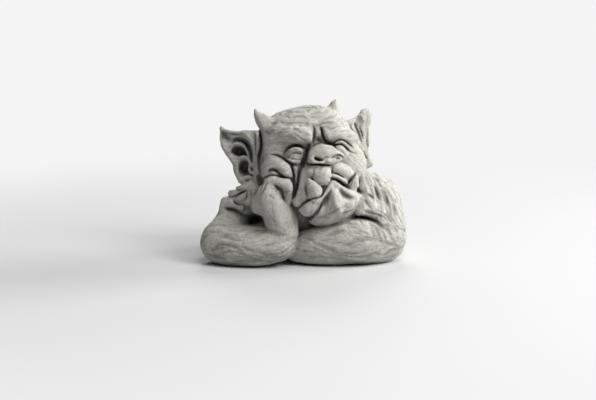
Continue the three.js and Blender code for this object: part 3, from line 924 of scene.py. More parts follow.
    def _mend_cell(
        self, flat: Array, place: Array, label: int, depth: Array, sound: Array
    ) -> None:
        """Relabels the corner of a cell that mends it for a label and lies nearest to the skin.

        Args:
            flat: the labels of all lattice points, which are changed.
            place: where the cell's corners are.
            label: the label whose corners one sheet can't part from the rest.
            depth: how far each lattice point is from the skin.
            sound: which sets of corners are sound.
        """
        here = flat[place]
        bits = int(((here == label) << np.arange(8)).sum())
        for i in sorted(range(8), key=lambda corner: depth[place[corner]]):
            if not sound[bits ^ (1 << i)]:
                continue
            if here[i] != label:
                flat[place[i]] = label
                return
            around = [int(here[i ^ (1 << a)]) for a in range(3) if here[i ^ (1 << a)] != label]
            if around:
                flat[place[i]] = max(around, key=around.count)
                return
        i = min(range(8), key=lambda corner: depth[place[corner]])
        flat[place[i]] = flat[place[i ^ 1]]

    def _active(self, labels: Array) -> Array:
        """The cells whose corners aren't all in one mass.

        Args:
            labels: the mass that each lattice point is in, or 0.

        Returns:
            The cells' lowest corners, one a row.
        """
        same = np.ones([n - 1 for n in labels.shape], bool)
        first = labels[:-1, :-1, :-1]
        for corner in CORNERS[1:]:
            part = tuple(slice(1, None) if c else slice(None, -1) for c in corner)
            same &= labels[part] == first
        return np.argwhere(~same)

    def skin(self) -> None:
        """Works out the points and faces of the skin, outside and between the masses."""
        _, _, z = self.whole.places((slice(None),) * 3)
        np.maximum(self.whole.d, -z, out=self.whole.d)
        labels = np.where(self.whole.d < 0, self.owner, 0).astype(np.uint8)
        self._drop_crumbs(labels)
        left = self._mend(labels)
        if left:
            log.warning("%d cells of the skin aren't mended", left)
        cells = self._active(labels)
        number = np.full([n - 1 for n in labels.shape], -1, np.int32)
        number[tuple(cells.T)] = np.arange(len(cells))
        self._place_points(labels, cells)
        faces, owners, opens = [], [], []
        for a in range(3):
            b, c = (a + 1) % 3, (a + 2) % 3
            low = labels[tuple(slice(None, -1) if i == a else slice(None) for i in range(3))]
            high = labels[tuple(slice(1, None) if i == a else slice(None) for i in range(3))]
            where = np.argwhere(low != high)
            ends = low[tuple(where.T)], high[tuple(where.T)]
            ring = []
            for db, dc in ((-1, -1), (0, -1), (0, 0), (-1, 0)):
                cell = where.copy()
                cell[:, b] += db
                cell[:, c] += dc
                ring.append(number[tuple(cell.T)])
            quads = np.stack(ring, axis=1)
            free = (ends[0] == 0) | (ends[1] == 0)
            for end, quad in ((ends[0], quads), (ends[1], quads[:, ::-1])):
                solid = end > 0
                faces.append(quad[solid])
                owners.append(end[solid])
                opens.append(free[solid])
        self.faces = np.vstack(faces)
        self.face_owner = np.concatenate(owners)
        self.face_open = np.concatenate(opens)

    def _place_points(self, labels: Array, cells: Array) -> None:
        """Places a point in each cell that the skin passes through, on the clay's own surface where it is open.

        Args:
            labels: the mass that each lattice point is in, or 0.
            cells: the cells' lowest corners.
        """
        axes = self.lattice.axes
        low = np.stack([axes[a][cells[:, a]] for a in range(3)], axis=1).astype(float)
        size = np.stack([axes[a][cells[:, a] + 1] for a in range(3)], axis=1) - low
        corner_labels = np.stack([labels[tuple((cells + c).T)] for c in CORNERS], axis=1)
        depths = np.stack([self.whole.d[tuple((cells + c).T)] for c in CORNERS], axis=1).astype(float)
        total, count = np.zeros((len(cells), 3)), np.zeros(len(cells))
        inner, inner_count = np.zeros((len(cells), 3)), np.zeros(len(cells))
        for i, j in EDGES:
            outside = (corner_labels[:, i] == 0) != (corner_labels[:, j] == 0)
            opposed = depths[:, i] * depths[:, j] < 0
            gap = np.where(opposed, depths[:, i] - depths[:, j], 1.0)
            share = np.where(opposed, depths[:, i] / gap, 0.5)[:, None]
            place = CORNERS[i] * (1 - share) + CORNERS[j] * share
            total += place * outside[:, None]
            count += outside
            between = corner_labels[:, i] != corner_labels[:, j]
            inner += (CORNERS[i] + CORNERS[j]) / 2 * between[:, None]
            inner_count += between
        self.is_open = count > 0
        share = np.where(self.is_open[:, None], total, inner) / np.where(self.is_open, count, inner_count)[:, None]
        for _ in range(3):
            self._pull(share, depths, size)
        self.points = low + share * size
        self._cells, self._low, self._size, self._depths = cells, low, size, depths

    def _pull(self, share: Array, depths: Array, size: Array) -> None:
        """Moves open points, given as shares of their cells, onto the clay's surface.

        Args:
            share: the points, which are changed.
            depths: the distances at their cells' corners.
            size: the sizes of their cells.
        """
        rows = np.flatnonzero(self.is_open)
        s = share[rows]
        value, slope = np.zeros(len(rows)), np.zeros((len(rows), 3))
        for i, corner in enumerate(CORNERS):
            weights = [s[:, a] if corner[a] else 1 - s[:, a] for a in range(3)]
            found = depths[rows, i]
            value += found * weights[0] * weights[1] * weights[2]
            for a in range(3):
                slope[:, a] += found * (1 if corner[a] else -1) * weights[(a + 1) % 3] * weights[(a + 2) % 3]
        slope /= size[rows]
        step = slope * (value / np.maximum(self.LEAST_SLOPE, (slope ** 2).sum(axis=1)))[:, None] / size[rows]
        share[rows] = np.clip(s - np.clip(step, -0.5, 0.5), *INSIDE)

    def relax(self, rounds: int = 2) -> None:
        """Evens out the skin's points along the clay's surface.

        Args:
            rounds: how many times.
        """
        faces = self.faces[self.face_open]
        for _ in range(rounds):
            total, count = np.zeros_like(self.points), np.zeros(len(self.points))
            for i in range(4):
                for j in (faces[:, (i + 1) % 4], faces[:, (i - 1) % 4]):
                    count += np.bincount(faces[:, i], minlength=len(count))
                    for a in range(3):
                        total[:, a] += np.bincount(faces[:, i], weights=self.points[j, a], minlength=len(count))
            rows = count > 0
            middle = self.points.copy()
            stay = 1 - self.EVENNESS
            middle[rows] = stay * self.points[rows] + self.EVENNESS * total[rows] / count[rows, None]
            share = np.clip((middle - self._low) / self._size, *INSIDE)
            self._pull(share, self._depths, self._size)
            self.points = np.where(self.is_open[:, None], self._low + share * self._size, self.points)
        self.points[:, 2] = np.maximum(self.points[:, 2], 0.0)

    def find_normals(self) -> None:
        """Works out the outward direction at each open point, over the masses on both sides of a crease."""
        faces = self.faces[self.face_open]
        corners = self.points[faces]
        across = np.cross(corners[:, 2] - corners[:, 0], corners[:, 3] - corners[:, 1])
        self.normals = np.zeros_like(self.points)
        for i in range(4):
            for a in range(3):
                self.normals[:, a] += np.bincount(faces[:, i], weights=across[:, a], minlength=len(self.points))
        self.normals /= np.maximum(1e-9, np.linalg.norm(self.normals, axis=1))[:, None]

    def weather(self, height: Callable[[Array], Array]) -> None:
        """Raises or lowers the open skin along its normals, but not the underside.

        Args:
            height: gives the height at points of the statue's frame.
        """
        self.find_normals()
        rows = np.flatnonzero(self.is_open & (self.points[:, 2] > 1.0))
        self.points[rows] += self.normals[rows] * height(self.points[rows])[:, None]
        self.find_normals()

    def find_hollows(self, widths: Sequence[float]) -> None:
        """Works out how deep in hollows of some widths each point of the skin lies.

        Args:
            widths: the widths of the hollows.
        """
        solid = (self.whole.d < 0).astype(np.float32)
        self.shade = []
        at = self.points + self.normals * 1.0
        for width in widths:
            blurred = solid
            for axis in range(3):
                blurred = self._blur(blurred, axis, width / 2)
            self.shade.append(self._sampled(blurred, at))
        self.shade.append(self._sampled(self.whole.cut, self.points))

    def _sampled(self, values: Array, at: Array) -> Array:
        """A value of the lattice's points at other points.

        Args:
            values: one for each point of the lattice.
            at: the other points, one a row.

        Returns:
            Their values.
        """
        axes = self.lattice.axes
        after = [np.clip(np.searchsorted(places, at[:, a]), 1, len(places) - 1) for a, places in enumerate(axes)]
        share = [
            np.clip((at[:, a] - axes[a][w - 1]) / (axes[a][w] - axes[a][w - 1]), 0, 1) for a, w in enumerate(after)
        ]
        found = np.zeros(len(at))
        for corner in CORNERS:
            weight = np.prod([share[a] if corner[a] else 1 - share[a] for a in range(3)], axis=0)
            found += weight * values[tuple(after[a] - 1 + corner[a] for a in range(3))]
        return found

    def _blur(self, values: Array, axis: int, reach: float) -> Array:
        """The mean of values over a stretch to both sides along an axis.

        Args:
            values: one for each point of the lattice.
            axis: the axis.
            reach: how far the stretch goes to each side.

        Returns:
            The means.
        """
        places = self.lattice.axes[axis]
        steps = np.gradient(places).astype(np.float32)
        shape = [-1 if i == axis else 1 for i in range(3)]
        total = np.cumsum(values * steps.reshape(shape), axis=axis, dtype=np.float64)
        total = np.concatenate([np.zeros_like(np.take(total, [0], axis=axis)), total], axis=axis)
        start = np.searchsorted(places, places - reach)
        end = np.searchsorted(places, places + reach, side="right")
        length = np.concatenate([[0.0], np.cumsum(steps, dtype=np.float64)])
        found = np.take(total, end, axis=axis) - np.take(total, start, axis=axis)
        return (found / (length[end] - length[start]).reshape(shape)).astype(np.float32)

    def piece(self, name: str, shift: Array) -> bpy.types.Object:
        """The closed mesh of one mass.

        Args:
            name: the mass's node.
            shift: how far the statue's frame lies from the model's.

        Returns:
            The new object.
        """
        own = self.face_owner == self.names.index(name) + 1
        faces, is_open = self.faces[own], self.face_open[own]
        used, faces = np.unique(faces, return_inverse=True)
        faces = faces.reshape(-1, 4)
        points = (self.points[used] - shift) * MM
        mesh = bpy.data.meshes.new(name)
        mesh.vertices.add(len(points))
        mesh.vertices.foreach_set("co", points.astype(np.float32).ravel())
        mesh.loops.add(faces.size)
        mesh.loops.foreach_set("vertex_index", faces.ravel().astype(np.int32))
        mesh.polygons.add(len(faces))
        mesh.polygons.foreach_set("loop_start", np.arange(0, faces.size, 4, dtype=np.int32))
        mesh.polygons.foreach_set("use_smooth", is_open)
        mesh.update(calc_edges=True)
        for row, attribute in enumerate(HOLLOWS):
            made = mesh.attributes.new(attribute, "FLOAT", "POINT")
            made.data.foreach_set("value", self.shade[row][used].astype(np.float32))
        made = mesh.attributes.new(GRAIN, "FLOAT_VECTOR", "POINT")
        made.data.foreach_set("vector", (grain_place(name, self.points[used]) * MM).astype(np.float32).ravel())
        corners = points[faces]
        flat = np.cross(corners[:, 2] - corners[:, 0], corners[:, 3] - corners[:, 1])
        flat /= np.maximum(1e-12, np.linalg.norm(flat, axis=1))[:, None]
        normals = np.where(is_open[:, None, None], self.normals[used][faces], flat[:, None, :])
        mesh.normals_split_custom_set(normals.reshape(-1, 3).tolist())
        piece = new_object(name + "_stone", mesh)
        log.info("%s: %d faces", name, len(faces))
        return piece


# how deep each point lies in hollows and under cuts, from which the stone paints shade and dirt
HOLLOWS = ("narrow_hollow", "wide_hollow", "cut")
HOLLOW_WIDTHS = (7.0, 24.0)
GRAIN = "grain_place"
SQUEEZE = 0.13  # of the grain's pattern along the grain
HAIR_ROOT = np.array([74.0, -16.0, 142.0])
FACE_ROOT = np.array([22.0, -60.0, 12.0])  # in the head's frame, what the wrinkles of the lower face fan out from


def fan(offset: Array, spread: float) -> Array:
    """Places for a pattern that runs outwards from where an offset is nought, as wide as on a ball of a radius."""
    far = np.maximum(TINY, np.linalg.norm(offset, axis=1))
    return np.stack([offset[:, 0] / far * spread, offset[:, 2] / far * spread, far * SQUEEZE], axis=1)


def grain_place(name: str, points: Array) -> Array:
    """Where points lie in a pattern that is stretched along the grain.

    Args:
        name: the mass's node.
        points: its points in the statue's frame.

    Returns:
        The places, in millimetres across the grain.
    """
    x, y, z = points.T
    if "arm" in name:
        wave = 5 * np.sin(x / 19 + y / 23)
        return np.stack([x * SQUEEZE, y + wave, z + 4 * np.sin(x / 14 + 1)], axis=1)
    if name == "torso":
        return fan(points - HAIR_ROOT, 75.0)
    if name in ("right_hand", "right_finger"):
        return np.stack([x + 4 * np.sin(z / 11), y, z * SQUEEZE], axis=1)
    own = (points - np.array(HEAD.place)) @ HEAD.axes
    if "ear" in name or "horn" in name:
        side = -1 if "right" in name else 1
        return fan(own - np.array([side * 44.0, -20.0, -8.0]), 80.0)
    turn = np.arctan2(own[:, 0], -own[:, 1])
    rings = np.stack([turn * 60 * SQUEEZE, np.hypot(own[:, 0], own[:, 1]), own[:, 2] + 5 * np.sin(turn * 4)], axis=1)
    share = np.clip((own[:, 2] - 2) / 22, 0, 1)[:, None]
    return rings * share + fan(own - FACE_ROOT, 45.0) * (1 - share)


# The body


@dataclass(frozen=True)
class Body:
    """The hunched back with its shoulders, and the two arms folded on the ground.

    Attributes:
        masses: of the belly, hump, left and right shoulder, chest and neck.
        collar: the roll from the neck to the left shoulder.
        right_upper, right_fore: the paths of the right upper arm and forearm.
        left_upper, left_fore: those of the left.
    """

    masses: tuple[Ball, ...] = (
        Ball((4, 32, 50), (92, 60, 66)), Ball((18, 34, 84), (66, 50, 40)), Ball((89, 12, 72), (43, 42, 40)),
        Ball((-77, 4, 60), (34, 35, 28)), Ball((12, -6, 50), (62, 38, 54)), Ball((8, -4, 100), (56, 44, 34)),
    )
    collar: Path = ((70, -22, 100, 15), (86, -16, 96, 20), (98, -14, 78, 22))
    right_upper: Path = ((-86, 0, 62, 22), (-98, -20, 48, 21), (-107, -34, 34, 23))
    right_fore: Path = ((-109, -40, 25.5, 26), (-90, -50, 26.5, 27), (-58, -57, 27.5, 27), (-34, -60, 33, 26))
    left_upper: Path = ((100, 6, 62, 32), (108, -8, 44, 30), (106, -22, 32, 30))
    left_fore: Path = ((104, -28, 30, 31), (84, -40, 30, 31), (60, -45, 32, 32), (38, -47, 29, 29), (18, -46, 26, 26),
                       (-6, -40, 23, 22))

    def torso(self, clay: Clay) -> None:
        """The back, shoulders, chest and neck, with locks of hair on both shoulders.

        Args:
            clay: its mass.
        """
        clay.add(*self.masses, Limb(self.collar), melt=16)
        self._mane(clay)
        self._tufts(clay)

    def _mane(self, clay: Clay) -> None:
        """The hair that falls from the cheek and ear over the left shoulder.

        Args:
            clay: the mass that it is part of.
        """
        clay.add(
            roll((80, 34, -14, 11), (86, 24, -5, 13), (88, 10, 2, 13), (90, -4, 2, 12), (96, -14, -4, 10)),
            roll((96, 18, -26, 11), (103, 14, -20, 14), (110, 0, -18, 14), (116, -18, -20, 13), (120, -34, -24, 12)),
            roll((81, -2, 10, 8), (88, -8, 6, 8), (98, -14, 0, 8), (110, -24, -10, 7)),
            lump(94, -27, -16, (24, 14, 12), 15), lump(80, -12, 8, (8, 10, 10)),
            melt=10, written_in=FACE,
        )

    def _tufts(self, clay: Clay) -> None:
        """The locks on the right shoulder.

        Args:
            clay: the mass that it is part of.
        """
        clay.add(lump(-77, 1, -17, (18, 14, 12), -14), lump(-62, 8, -15, (14, 14, 15)), melt=6, written_in=FACE)
        clay.add(
            roll((-95, -2, -18, 6.5), (-97, -10, -18, 6.5), (-97.5, -16, -20, 6.5)),
            roll((-90, -6, -14, 6), (-83, -8, -11, 6.5), (-76, -10, -10, 6)),
            roll((-87.5, 8.7, -13, 4.4), (-82, 9.2, -10, 4.8), (-75, 12.4, -7, 4.8), (-68, 17, -6, 5),
                 (-61, 21, -8, 5)),
            roll((-79, 15.2, -15, 3.2), (-74.5, 16, -13, 3.4), (-69, 19, -12, 3.6)),
            roll((-79, 0.5, -8, 5), (-74, 4, -4, 6.6), (-71.5, 5, -3, 6)),
            roll((-64, 12, -3, 4), (-64.3, 5, -3, 4.2), (-65, -3, -4, 5)),
            roll((-58.5, 17, -4, 5.5), (-58.5, 10, 0, 5.2), (-60, 4, -1, 4)),
            melt=3, written_in=FACE,
        )
        clay.draw_all(Mark.GROOVE, (
            ([(-92, 5.3), (-87, 3.8), (-81, 5), (-75.5, 8.6), (-70, 11.2), (-66, 14)], 1.5, 3.4),
            ([(-82, 12.8), (-77, 12.6), (-73, 14.4)], 1.1, 3.0), ([(-67.3, 11), (-67, 5), (-68.5, -1)], 1.4, 2.4),
            ([(-61.5, 14), (-61.6, 8), (-62.5, 2)], 1.3, 2.0),
            ([(-83.4, 3.6), (-84.2, -1), (-80, -5), (-74, -6)], 1.3, 3.4),
            ([(-90, 0.4), (-87.5, 2.4), (-85.5, 0.6)], 1.0, 2.0),
        ), far=-40)
        clay.draw(Mark.DENT, [(-98, -11.5), (-90, -11.2), (-84, -12), (-77, -16), (-70, -20)], 2.2, 3.4, far=-50)
        clay.press(lump(-60, -27, -8, (19, 32, 9)), melt=3, written_in=FACE)

    def right_arm(self, clay: Clay) -> None:
        """The arm whose fist props up the head.

        Args:
            clay: its mass.
        """
        clay.add(Limb(self.right_upper), Limb(self.right_fore), melt=10)

    def left_arm(self, clay: Clay) -> None:
        """The arm that lies across the chest.

        Args:
            clay: its mass.
        """
        clay.add(Limb(self.left_upper), Limb(self.left_fore), melt=10)


@dataclass(frozen=True)
class Fist:
    """The wrist, palm and knuckles that the cheek rests on, and the finger that curls down beside them."""

    def hand(self, clay: Clay) -> None:
        """The wrist, palm, thumb and knuckles.

        Args:
            clay: its mass.
        """
        clay.add(
            roll((-21, -42, 15, 22), (-22, -30, 20, 21.5), (-27, -16, 26, 20), (-34, -3, 31, 18.5), (-38, 9, 35, 14.5),
                 (-37, 19, 38, 9.5)),
            lump(-50, -5, 22, (12, 13, 14), 10), lump(-30, 15, 33, (17, 12, 11)),
            roll((-20, 17, 38, 7.5), (-19, 9, 35.5, 7), (-19, 2, 33, 5.5)),
            melt=6,
        )
        clay.add(
            roll((-39, 23.6, 39, 6), (-33, 25.2, 43, 6.4), (-26, 24.2, 46, 6.2), (-19, 22.6, 47.5, 6.2),
                 (-15, 21, 47.5, 5.6)),
            roll((-45.5, 19, 34, 3.6), (-48.5, 12, 32, 4), (-51, 4, 29, 4)),
            melt=3.5,
        )
        clay.draw_all(Mark.GROOVE, (
            ([(-43.6, 26), (-47, 18), (-49.8, 10), (-51.5, 4)], 0.9, 1.7),
            ([(-40.4, 24), (-43.4, 17), (-46.6, 10), (-49.6, 4)], 1.1, 2.6),
        ))
        clay.draw(Mark.DENT, [(-31, 20.6), (-27.5, 17.4), (-24, 14.6), (-21.6, 12)], 1.7, 3.6)
        clay.draw(Mark.DENT, [(-22.6, 17), (-20.6, 10), (-18.6, 3), (-16.5, -3)], 2.0, 3.4, blunt=0.3)
        clay.draw(Mark.GROOVE, [(-44, -23), (-37, -25), (-30, -29), (-27.5, -31)], 0.9, 1.4)
        for across, up in ((-30, 12), (-33.3, 2.6), (-37, 5), (-28, 15), (-34.5, 14.5)):
            clay.draw(Mark.DENT, [(across, up), (across + 0.6, up - 0.6)], 1.1, 1.8)

    def finger(self, clay: Clay) -> None:
        """The finger beside the fold of the cheek.

        Args:
            clay: its mass.
        """
        clay.add(
            roll((-15.5, 21.6, 47, 5.8), (-12.6, 18.5, 48, 5.8), (-12, 14, 47.5, 5.4), (-12, 10.6, 46, 4.8)),
            roll((-12.6, 9, 42, 4.6), (-12.6, 4, 41, 4.4), (-13.2, -2, 37, 4)),
            melt=1.6,
        )
        clay.draw(Mark.GROOVE, [(-18.5, 11.6), (-14, 10.6), (-8, 11)], 1.0, 1.6)


# The open eye


@dataclass(frozen=True)
class Eyeball:
    """The open eye: a ball with the ring of its iris and its pupil pressed in.

    Attributes:
        centre: its middle in the head's frame.
        radius: of the ball.
        iris: the radius of the ring.
        ring: how deep the ring and the pupil are.
        rows: how many rows of faces the ball has from pole to pole.
        band: how many rows wide half of the ring is.
        pupil: how many rows wide the pupil's radius is.
        gaze: degrees that the pupil is turned forwards by from straight up.
    """

    centre: Point = (-30.0, -52.0, 4.0)
    radius: float = 9.7
    iris: float = 4.0
    ring: float = 0.9
    rows: int = 48
    band: float = 0.9
    pupil: float = 1.3
    gaze: float = 82.0

    def build(self, shift: Array) -> bpy.types.Object:
        """The eyeball's object, which looks at the viewer.

        Args:
            shift: how far the statue's frame lies from the model's.

        Returns:
            The new object.
        """
        bpy.ops.object.select_all(action="DESELECT")
        bpy.ops.mesh.primitive_uv_sphere_add(
            segments=64, ring_count=self.rows, radius=self.radius * MM, location=(0, 0, 0)
        )
        ball = bpy.context.active_object
        ball.name = "right_eyeball_stone"
        bpy.ops.object.mode_set(mode="EDIT")
        row = math.pi * self.radius / self.rows
        self._press(ball, self.iris - self.band * row, self.iris + self.band * row)
        self._press(ball, -1.0, self.pupil * row)
        bpy.ops.mesh.select_all(action="SELECT")
        bpy.ops.transform.rotate(value=math.radians(-self.gaze), orient_axis="X", center_override=(0, 0, 0))
        bpy.ops.transform.translate(value=Vector((HEAD.to_statue(np.array(self.centre)) - shift) * MM))
        bpy.ops.object.mode_set(mode="OBJECT")
        bpy.ops.object.shade_smooth()
        return ball

    def _press(self, ball: bpy.types.Object, start: float, end: float) -> None:
        """Presses in some rings of the ball, as deep as the ring of the iris.

        Args:
            ball: the ball, in edit mode.
            start, end: how far from its pole the rings lie.
        """
        bpy.ops.mesh.select_all(action="DESELECT")
        bpy.ops.mesh.select_mode(type="VERT")
        mesh = bmesh.from_edit_mesh(ball.data)
        for vertex in mesh.verts:
            away = self.radius * vertex.co.angle(Vector((0, 0, 1)))
            vertex.select_set(start < away < end)
        mesh.select_flush_mode()
        bmesh.update_edit_mesh(ball.data)
        bpy.ops.transform.shrink_fatten(value=-self.ring * MM)


# Ears and horns


@dataclass(frozen=True)
class Dish(Shape):
    """A dished plate such as an ear, with its rim as it is seen on the board.

    Attributes:
        rim: the rim's points, across and up the board, going round.
        near: how far in front of the board it lies where the board's coordinates are nought.
        lean: how much nearer it comes for each millimetre across and up.
        middle: where it is deepest.
        depth: how deep it is there.
        reach: how wide the hollow is.
        thickness: of the plate.
    """

    rim: Path
    near: float
    lean: tuple[float, float]
    middle: tuple[float, float]
    depth: float
    reach: float
    thickness: float

    MARGIN = 2  # between the rim and the box round it
    EDGE = 3.0  # the width over which the rim is rounded

    def lie(self, across: Array | float, up: Array | float) -> Array | float:
        """How far in front of the board the middle of its thickness lies.

        Args:
            across, up: places on the board.

        Returns:
            How far in front of it the middle lies there.
        """
        far = (across - self.middle[0]) ** 2 + (up - self.middle[1]) ** 2
        flat = self.near + self.lean[0] * across + self.lean[1] * up
        return flat - self.depth * np.exp(-far / self.reach ** 2)

    def box(self) -> tuple[Array, Array]:
        """The box round it.

        Returns:
            Its lowest and highest corner.
        """
        rim = np.array(self.rim, float)
        near = self.near + rim @ np.array(self.lean)
        room = self.depth + self.thickness
        low, high = rim.min(axis=0) - self.MARGIN, rim.max(axis=0) + self.MARGIN
        return (
            np.array([low[0], -near.max() - self.thickness, low[1]]),
            np.array([high[0], -near.min() + room, high[1]]),
        )

    def distance(self, points: Sequence[Array]) -> Array:
        """About how far points are from the skin.

        Args:
            points: their X, Y and Z in the face's frame.

        Returns:
            The distances, negative inside.
        """
        x, y, z = points
        share = (np.float32(FRONT.distance) + y) / np.float32(FRONT.distance)
        across, up = x / share, z / share
        line = smooth(list(self.rim) + [self.rim[0]], 3).astype(np.float32)
        gap = np.full(across.shape, FAR * FAR, np.float32)
        inside = np.zeros(across.shape, bool)
        for start, end in zip(line[:-1], line[1:]):
            (ax, ay), by, (ux, uy) = start, end[1], end - start
            gap = np.minimum(gap, beside(from_place((across, up), start), (ux, uy))[1])
            if ay != by:
                inside ^= ((ay > up) != (by > up)) & (across < ax + (up - ay) * ux / uy)
        side = np.where(inside, -1, 1) * np.sqrt(gap)
        slope = math.sqrt(1 + self.lean[0] ** 2 + self.lean[1] ** 2)
        sheet = np.abs(-y - self.lie(across, up)) / np.float32(slope) - np.float32(self.thickness / 2)
        return -melted(-side, -sheet, self.EDGE)


@dataclass(frozen=True)
class Ears:
    """The two large ears."""

    right: Dish = Dish(
        rim=[(-101.5, 97), (-96, 93), (-88, 90.5), (-78, 89.5), (-68, 91), (-57, 91), (-48, 90), (-44, 74), (-44, 56),
             (-46, 38), (-52, 28), (-60, 25), (-68, 21), (-72, 20), (-77, 25), (-80, 32), (-82, 40), (-84, 47.5),
             (-90, 55), (-95, 61), (-99, 68), (-101.5, 77), (-102, 88)],
        near=1.5, lean=(0.37, 0.2), middle=(-75, 58), depth=9.0, reach=26.0, thickness=13.0,
    )
    left: Dish = Dish(
        rim=[(58, 98), (66, 104.5), (72, 107), (79, 111.5), (82.5, 114.5), (85, 118.5), (90, 119.5), (95, 117.5),
             (97.3, 112), (96.5, 107), (94, 101), (93.3, 93), (94.3, 85), (94.3, 76), (92.5, 68), (92.8, 60),
             (95, 55.5),
             (98.5, 51), (98.5, 46), (95, 42), (86, 40), (74, 46), (64, 60), (58, 80)],
        near=0.0, lean=(-0.706, -0.02), middle=(80, 92), depth=4.0, reach=20.0, thickness=14.0,
    )

    def _fold(self, dish: Dish, proud: float, *path: tuple[float, float, float]) -> Limb:
        """A fold on a dish.

        Args:
            dish: the dish.
            proud: how far in front of its middle the fold lies.
            *path: points as across, up and radius.

        Returns:
            The fold, in the face's frame.
        """
        return roll(*[(a, u, dish.lie(a, u) + proud, r) for a, u, r in path])

    def right_ear(self, clay: Clay) -> None:
        """The ear on the fist's side, which opens towards the viewer.

        Args:
            clay: its mass.
        """
        ear = self.right
        clay.add(ear, melt=1)
        clay.add(
            lump(-70, 44, ear.lie(-70, 44) - 13, (15, 14, 19)), lump(-74, 66, ear.lie(-74, 66) - 12, (20, 13, 18)),
            roll((-50, 80, -14, 8), (-51, 66, -12, 9), (-52, 54, -12, 9), (-52, 42, -12, 9), (-52, 30, -14, 8)), melt=6,
        )
        clay.add(
            self._fold(ear, 6, (-100.5, 94.5, 1.6), (-95, 90.9, 2), (-86, 88.2, 2.2), (-77, 87.6, 2.2), (-70, 87.6, 3),
                       (-65, 84, 4.6), (-61.6, 76, 5), (-59.4, 66, 4.6), (-58, 56, 4), (-57, 46, 3.6), (-57, 38, 2.8)),
            self._fold(ear, 5.5, (-100, 92, 1.8), (-99.6, 80, 2.2), (-97, 70, 2.4), (-91.5, 61, 2.8),
                       (-85.6, 53, 3), (-81.5, 45, 3.2), (-79, 36, 3.2), (-76, 28, 3.2), (-72, 23, 2.8)),
            self._fold(ear, 6, (-53.5, 86, 3.4), (-53, 76, 3.6), (-53.5, 62, 3.4), (-53.5, 50, 3.2), (-53, 38, 3)),
            melt=4,
        )
        clay.press(lump(-78.5, 64.5, ear.lie(-78, 64) + 7, (9.5, 16, 7), 8), melt=5)
        clay.press(lump(-71, 60.5, ear.lie(-71, 60) + 7, (7, 16, 5), 40), melt=4)
        clay.press(lump(-70, 41.5, ear.lie(-70, 42) + 6, (8.4, 25, 11.4), 4), melt=3.5)
        clay.add(
            self._fold(ear, 7, (-91, 60, 2), (-88.6, 68, 2.4), (-84, 73.4, 2.6), (-76, 74.4, 2.8), (-69.5, 70.8, 2.8),
                       (-65.6, 63.5, 2.6), (-63.6, 56, 2.4), (-62, 49, 2)),
            self._fold(ear, 7, (-79.8, 38, 1.8), (-79.4, 46, 2.1), (-76.8, 53, 2.3), (-71.5, 56.4, 2.3),
                       (-66, 54.4, 2.1),
                       (-62.5, 49, 2)),
            self._fold(ear, 8.5, (-62.6, 48, 1.6), (-63.8, 41, 1.8), (-62, 35.5, 1.8), (-58.4, 34.6, 1.8),
                       (-56, 39, 1.6),
                       (-57.6, 46, 1.5)),
            self._fold(ear, 7, (-76, 24.5, 2.4), (-71, 27, 3), (-66, 29.6, 3), (-60, 29, 2.8), (-54, 26.5, 2.8)),
            melt=2,
        )
        clay.draw_all(Mark.GROOVE, (
            ([(-86.5, 76), (-81, 79.2), (-74, 78.6), (-68, 75), (-63.8, 68.6), (-61.7, 60), (-60.7, 50)], 2.2, 7.0),
            ([(-98.5, 88), (-95.5, 82), (-91, 78)], 3.8, 5.0), ([(-60.3, 42), (-60, 38)], 1.3, 3.0),
            ([(-62.5, 33), (-59.6, 32), (-57, 31)], 1.2, 3.0),
            ([(-55.6, 88), (-55.8, 76), (-55.6, 64), (-55.2, 52)], 1.2, 2.4),
            ([(-97.5, 91.6), (-92, 88.4), (-86, 86.6), (-79, 86), (-71, 86.4)], 1.0, 2.0),
        ), far=-15, blunt=0.4)

    def left_ear(self, clay: Clay) -> None:
        """The ear on the far side, which is seen nearly edge on.

        Args:
            clay: its mass.
        """
        ear = self.left
        clay.add(ear, melt=1)
        clay.add(
            self._fold(ear, 5, (84, 115, 3), (90, 115, 4), (92, 108, 4), (90.5, 98, 3.8), (90, 86, 3.6),
                       (89.5, 74, 3.6),
                       (88.5, 62, 3.4), (91, 53, 4), (94.5, 47.5, 4.5)),
            self._fold(ear, 5, (66, 101, 3), (73, 104, 3), (80, 108.5, 3), (85, 113.5, 3)),
            melt=2.5,
        )
        clay.press(lump(80.5, 101, ear.lie(80, 101) + 9, (6, 7, 9), 8), melt=3)
        clay.draw(Mark.GROOVE, [(73.5, 101), (75.5, 95), (78.5, 89), (81, 82), (83, 74)], 1.5, 4.2, far=-61)
        clay.draw(Mark.GROOVE, [(80, 96), (83, 88), (85, 79)], 1.2, 3.4, far=-62)
        clay.draw(Mark.GROOVE, [(67, 99), (70, 92.5), (74, 86), (77, 80)], 1.5, 2.8, far=-56)
        clay.draw_all(Mark.GROOVE, (
            ([(91, 92), (90, 84), (90.2, 76), (91, 69), (90, 61)], 1.1, 2.6),
            ([(86.3, 63), (88, 56.5), (91.5, 53.3)], 1.1, 2.4),
        ), far=-66)


@dataclass(frozen=True)
class Horns:
    """The two stubby horns, each of which bends up to its tip.

    Attributes:
        right, left: their rolls behind the board, from the root to the tip.
    """

    right: Path = ((-38, 97, 2, 11), (-44, 102, 2, 10.5), (-50, 108, 3, 7.2), (-54, 113.5, 5, 4.2), (-56, 119, 7, 1.2))
    left: Path = ((44.5, 112, -33, 9), (46, 118, -33, 8.4), (47.2, 124, -33, 6), (49.5, 131.3, -32, 1.3))

    def right_horn(self, clay: Clay) -> None:
        """The horn above the open eye.

        Args:
            clay: its mass.
        """
        clay.add(roll(*self.right), melt=3)

    def left_horn(self, clay: Clay) -> None:
        """The horn above the squinting eye.

        Args:
            clay: its mass.
        """
        clay.add(roll(*self.left), melt=3)


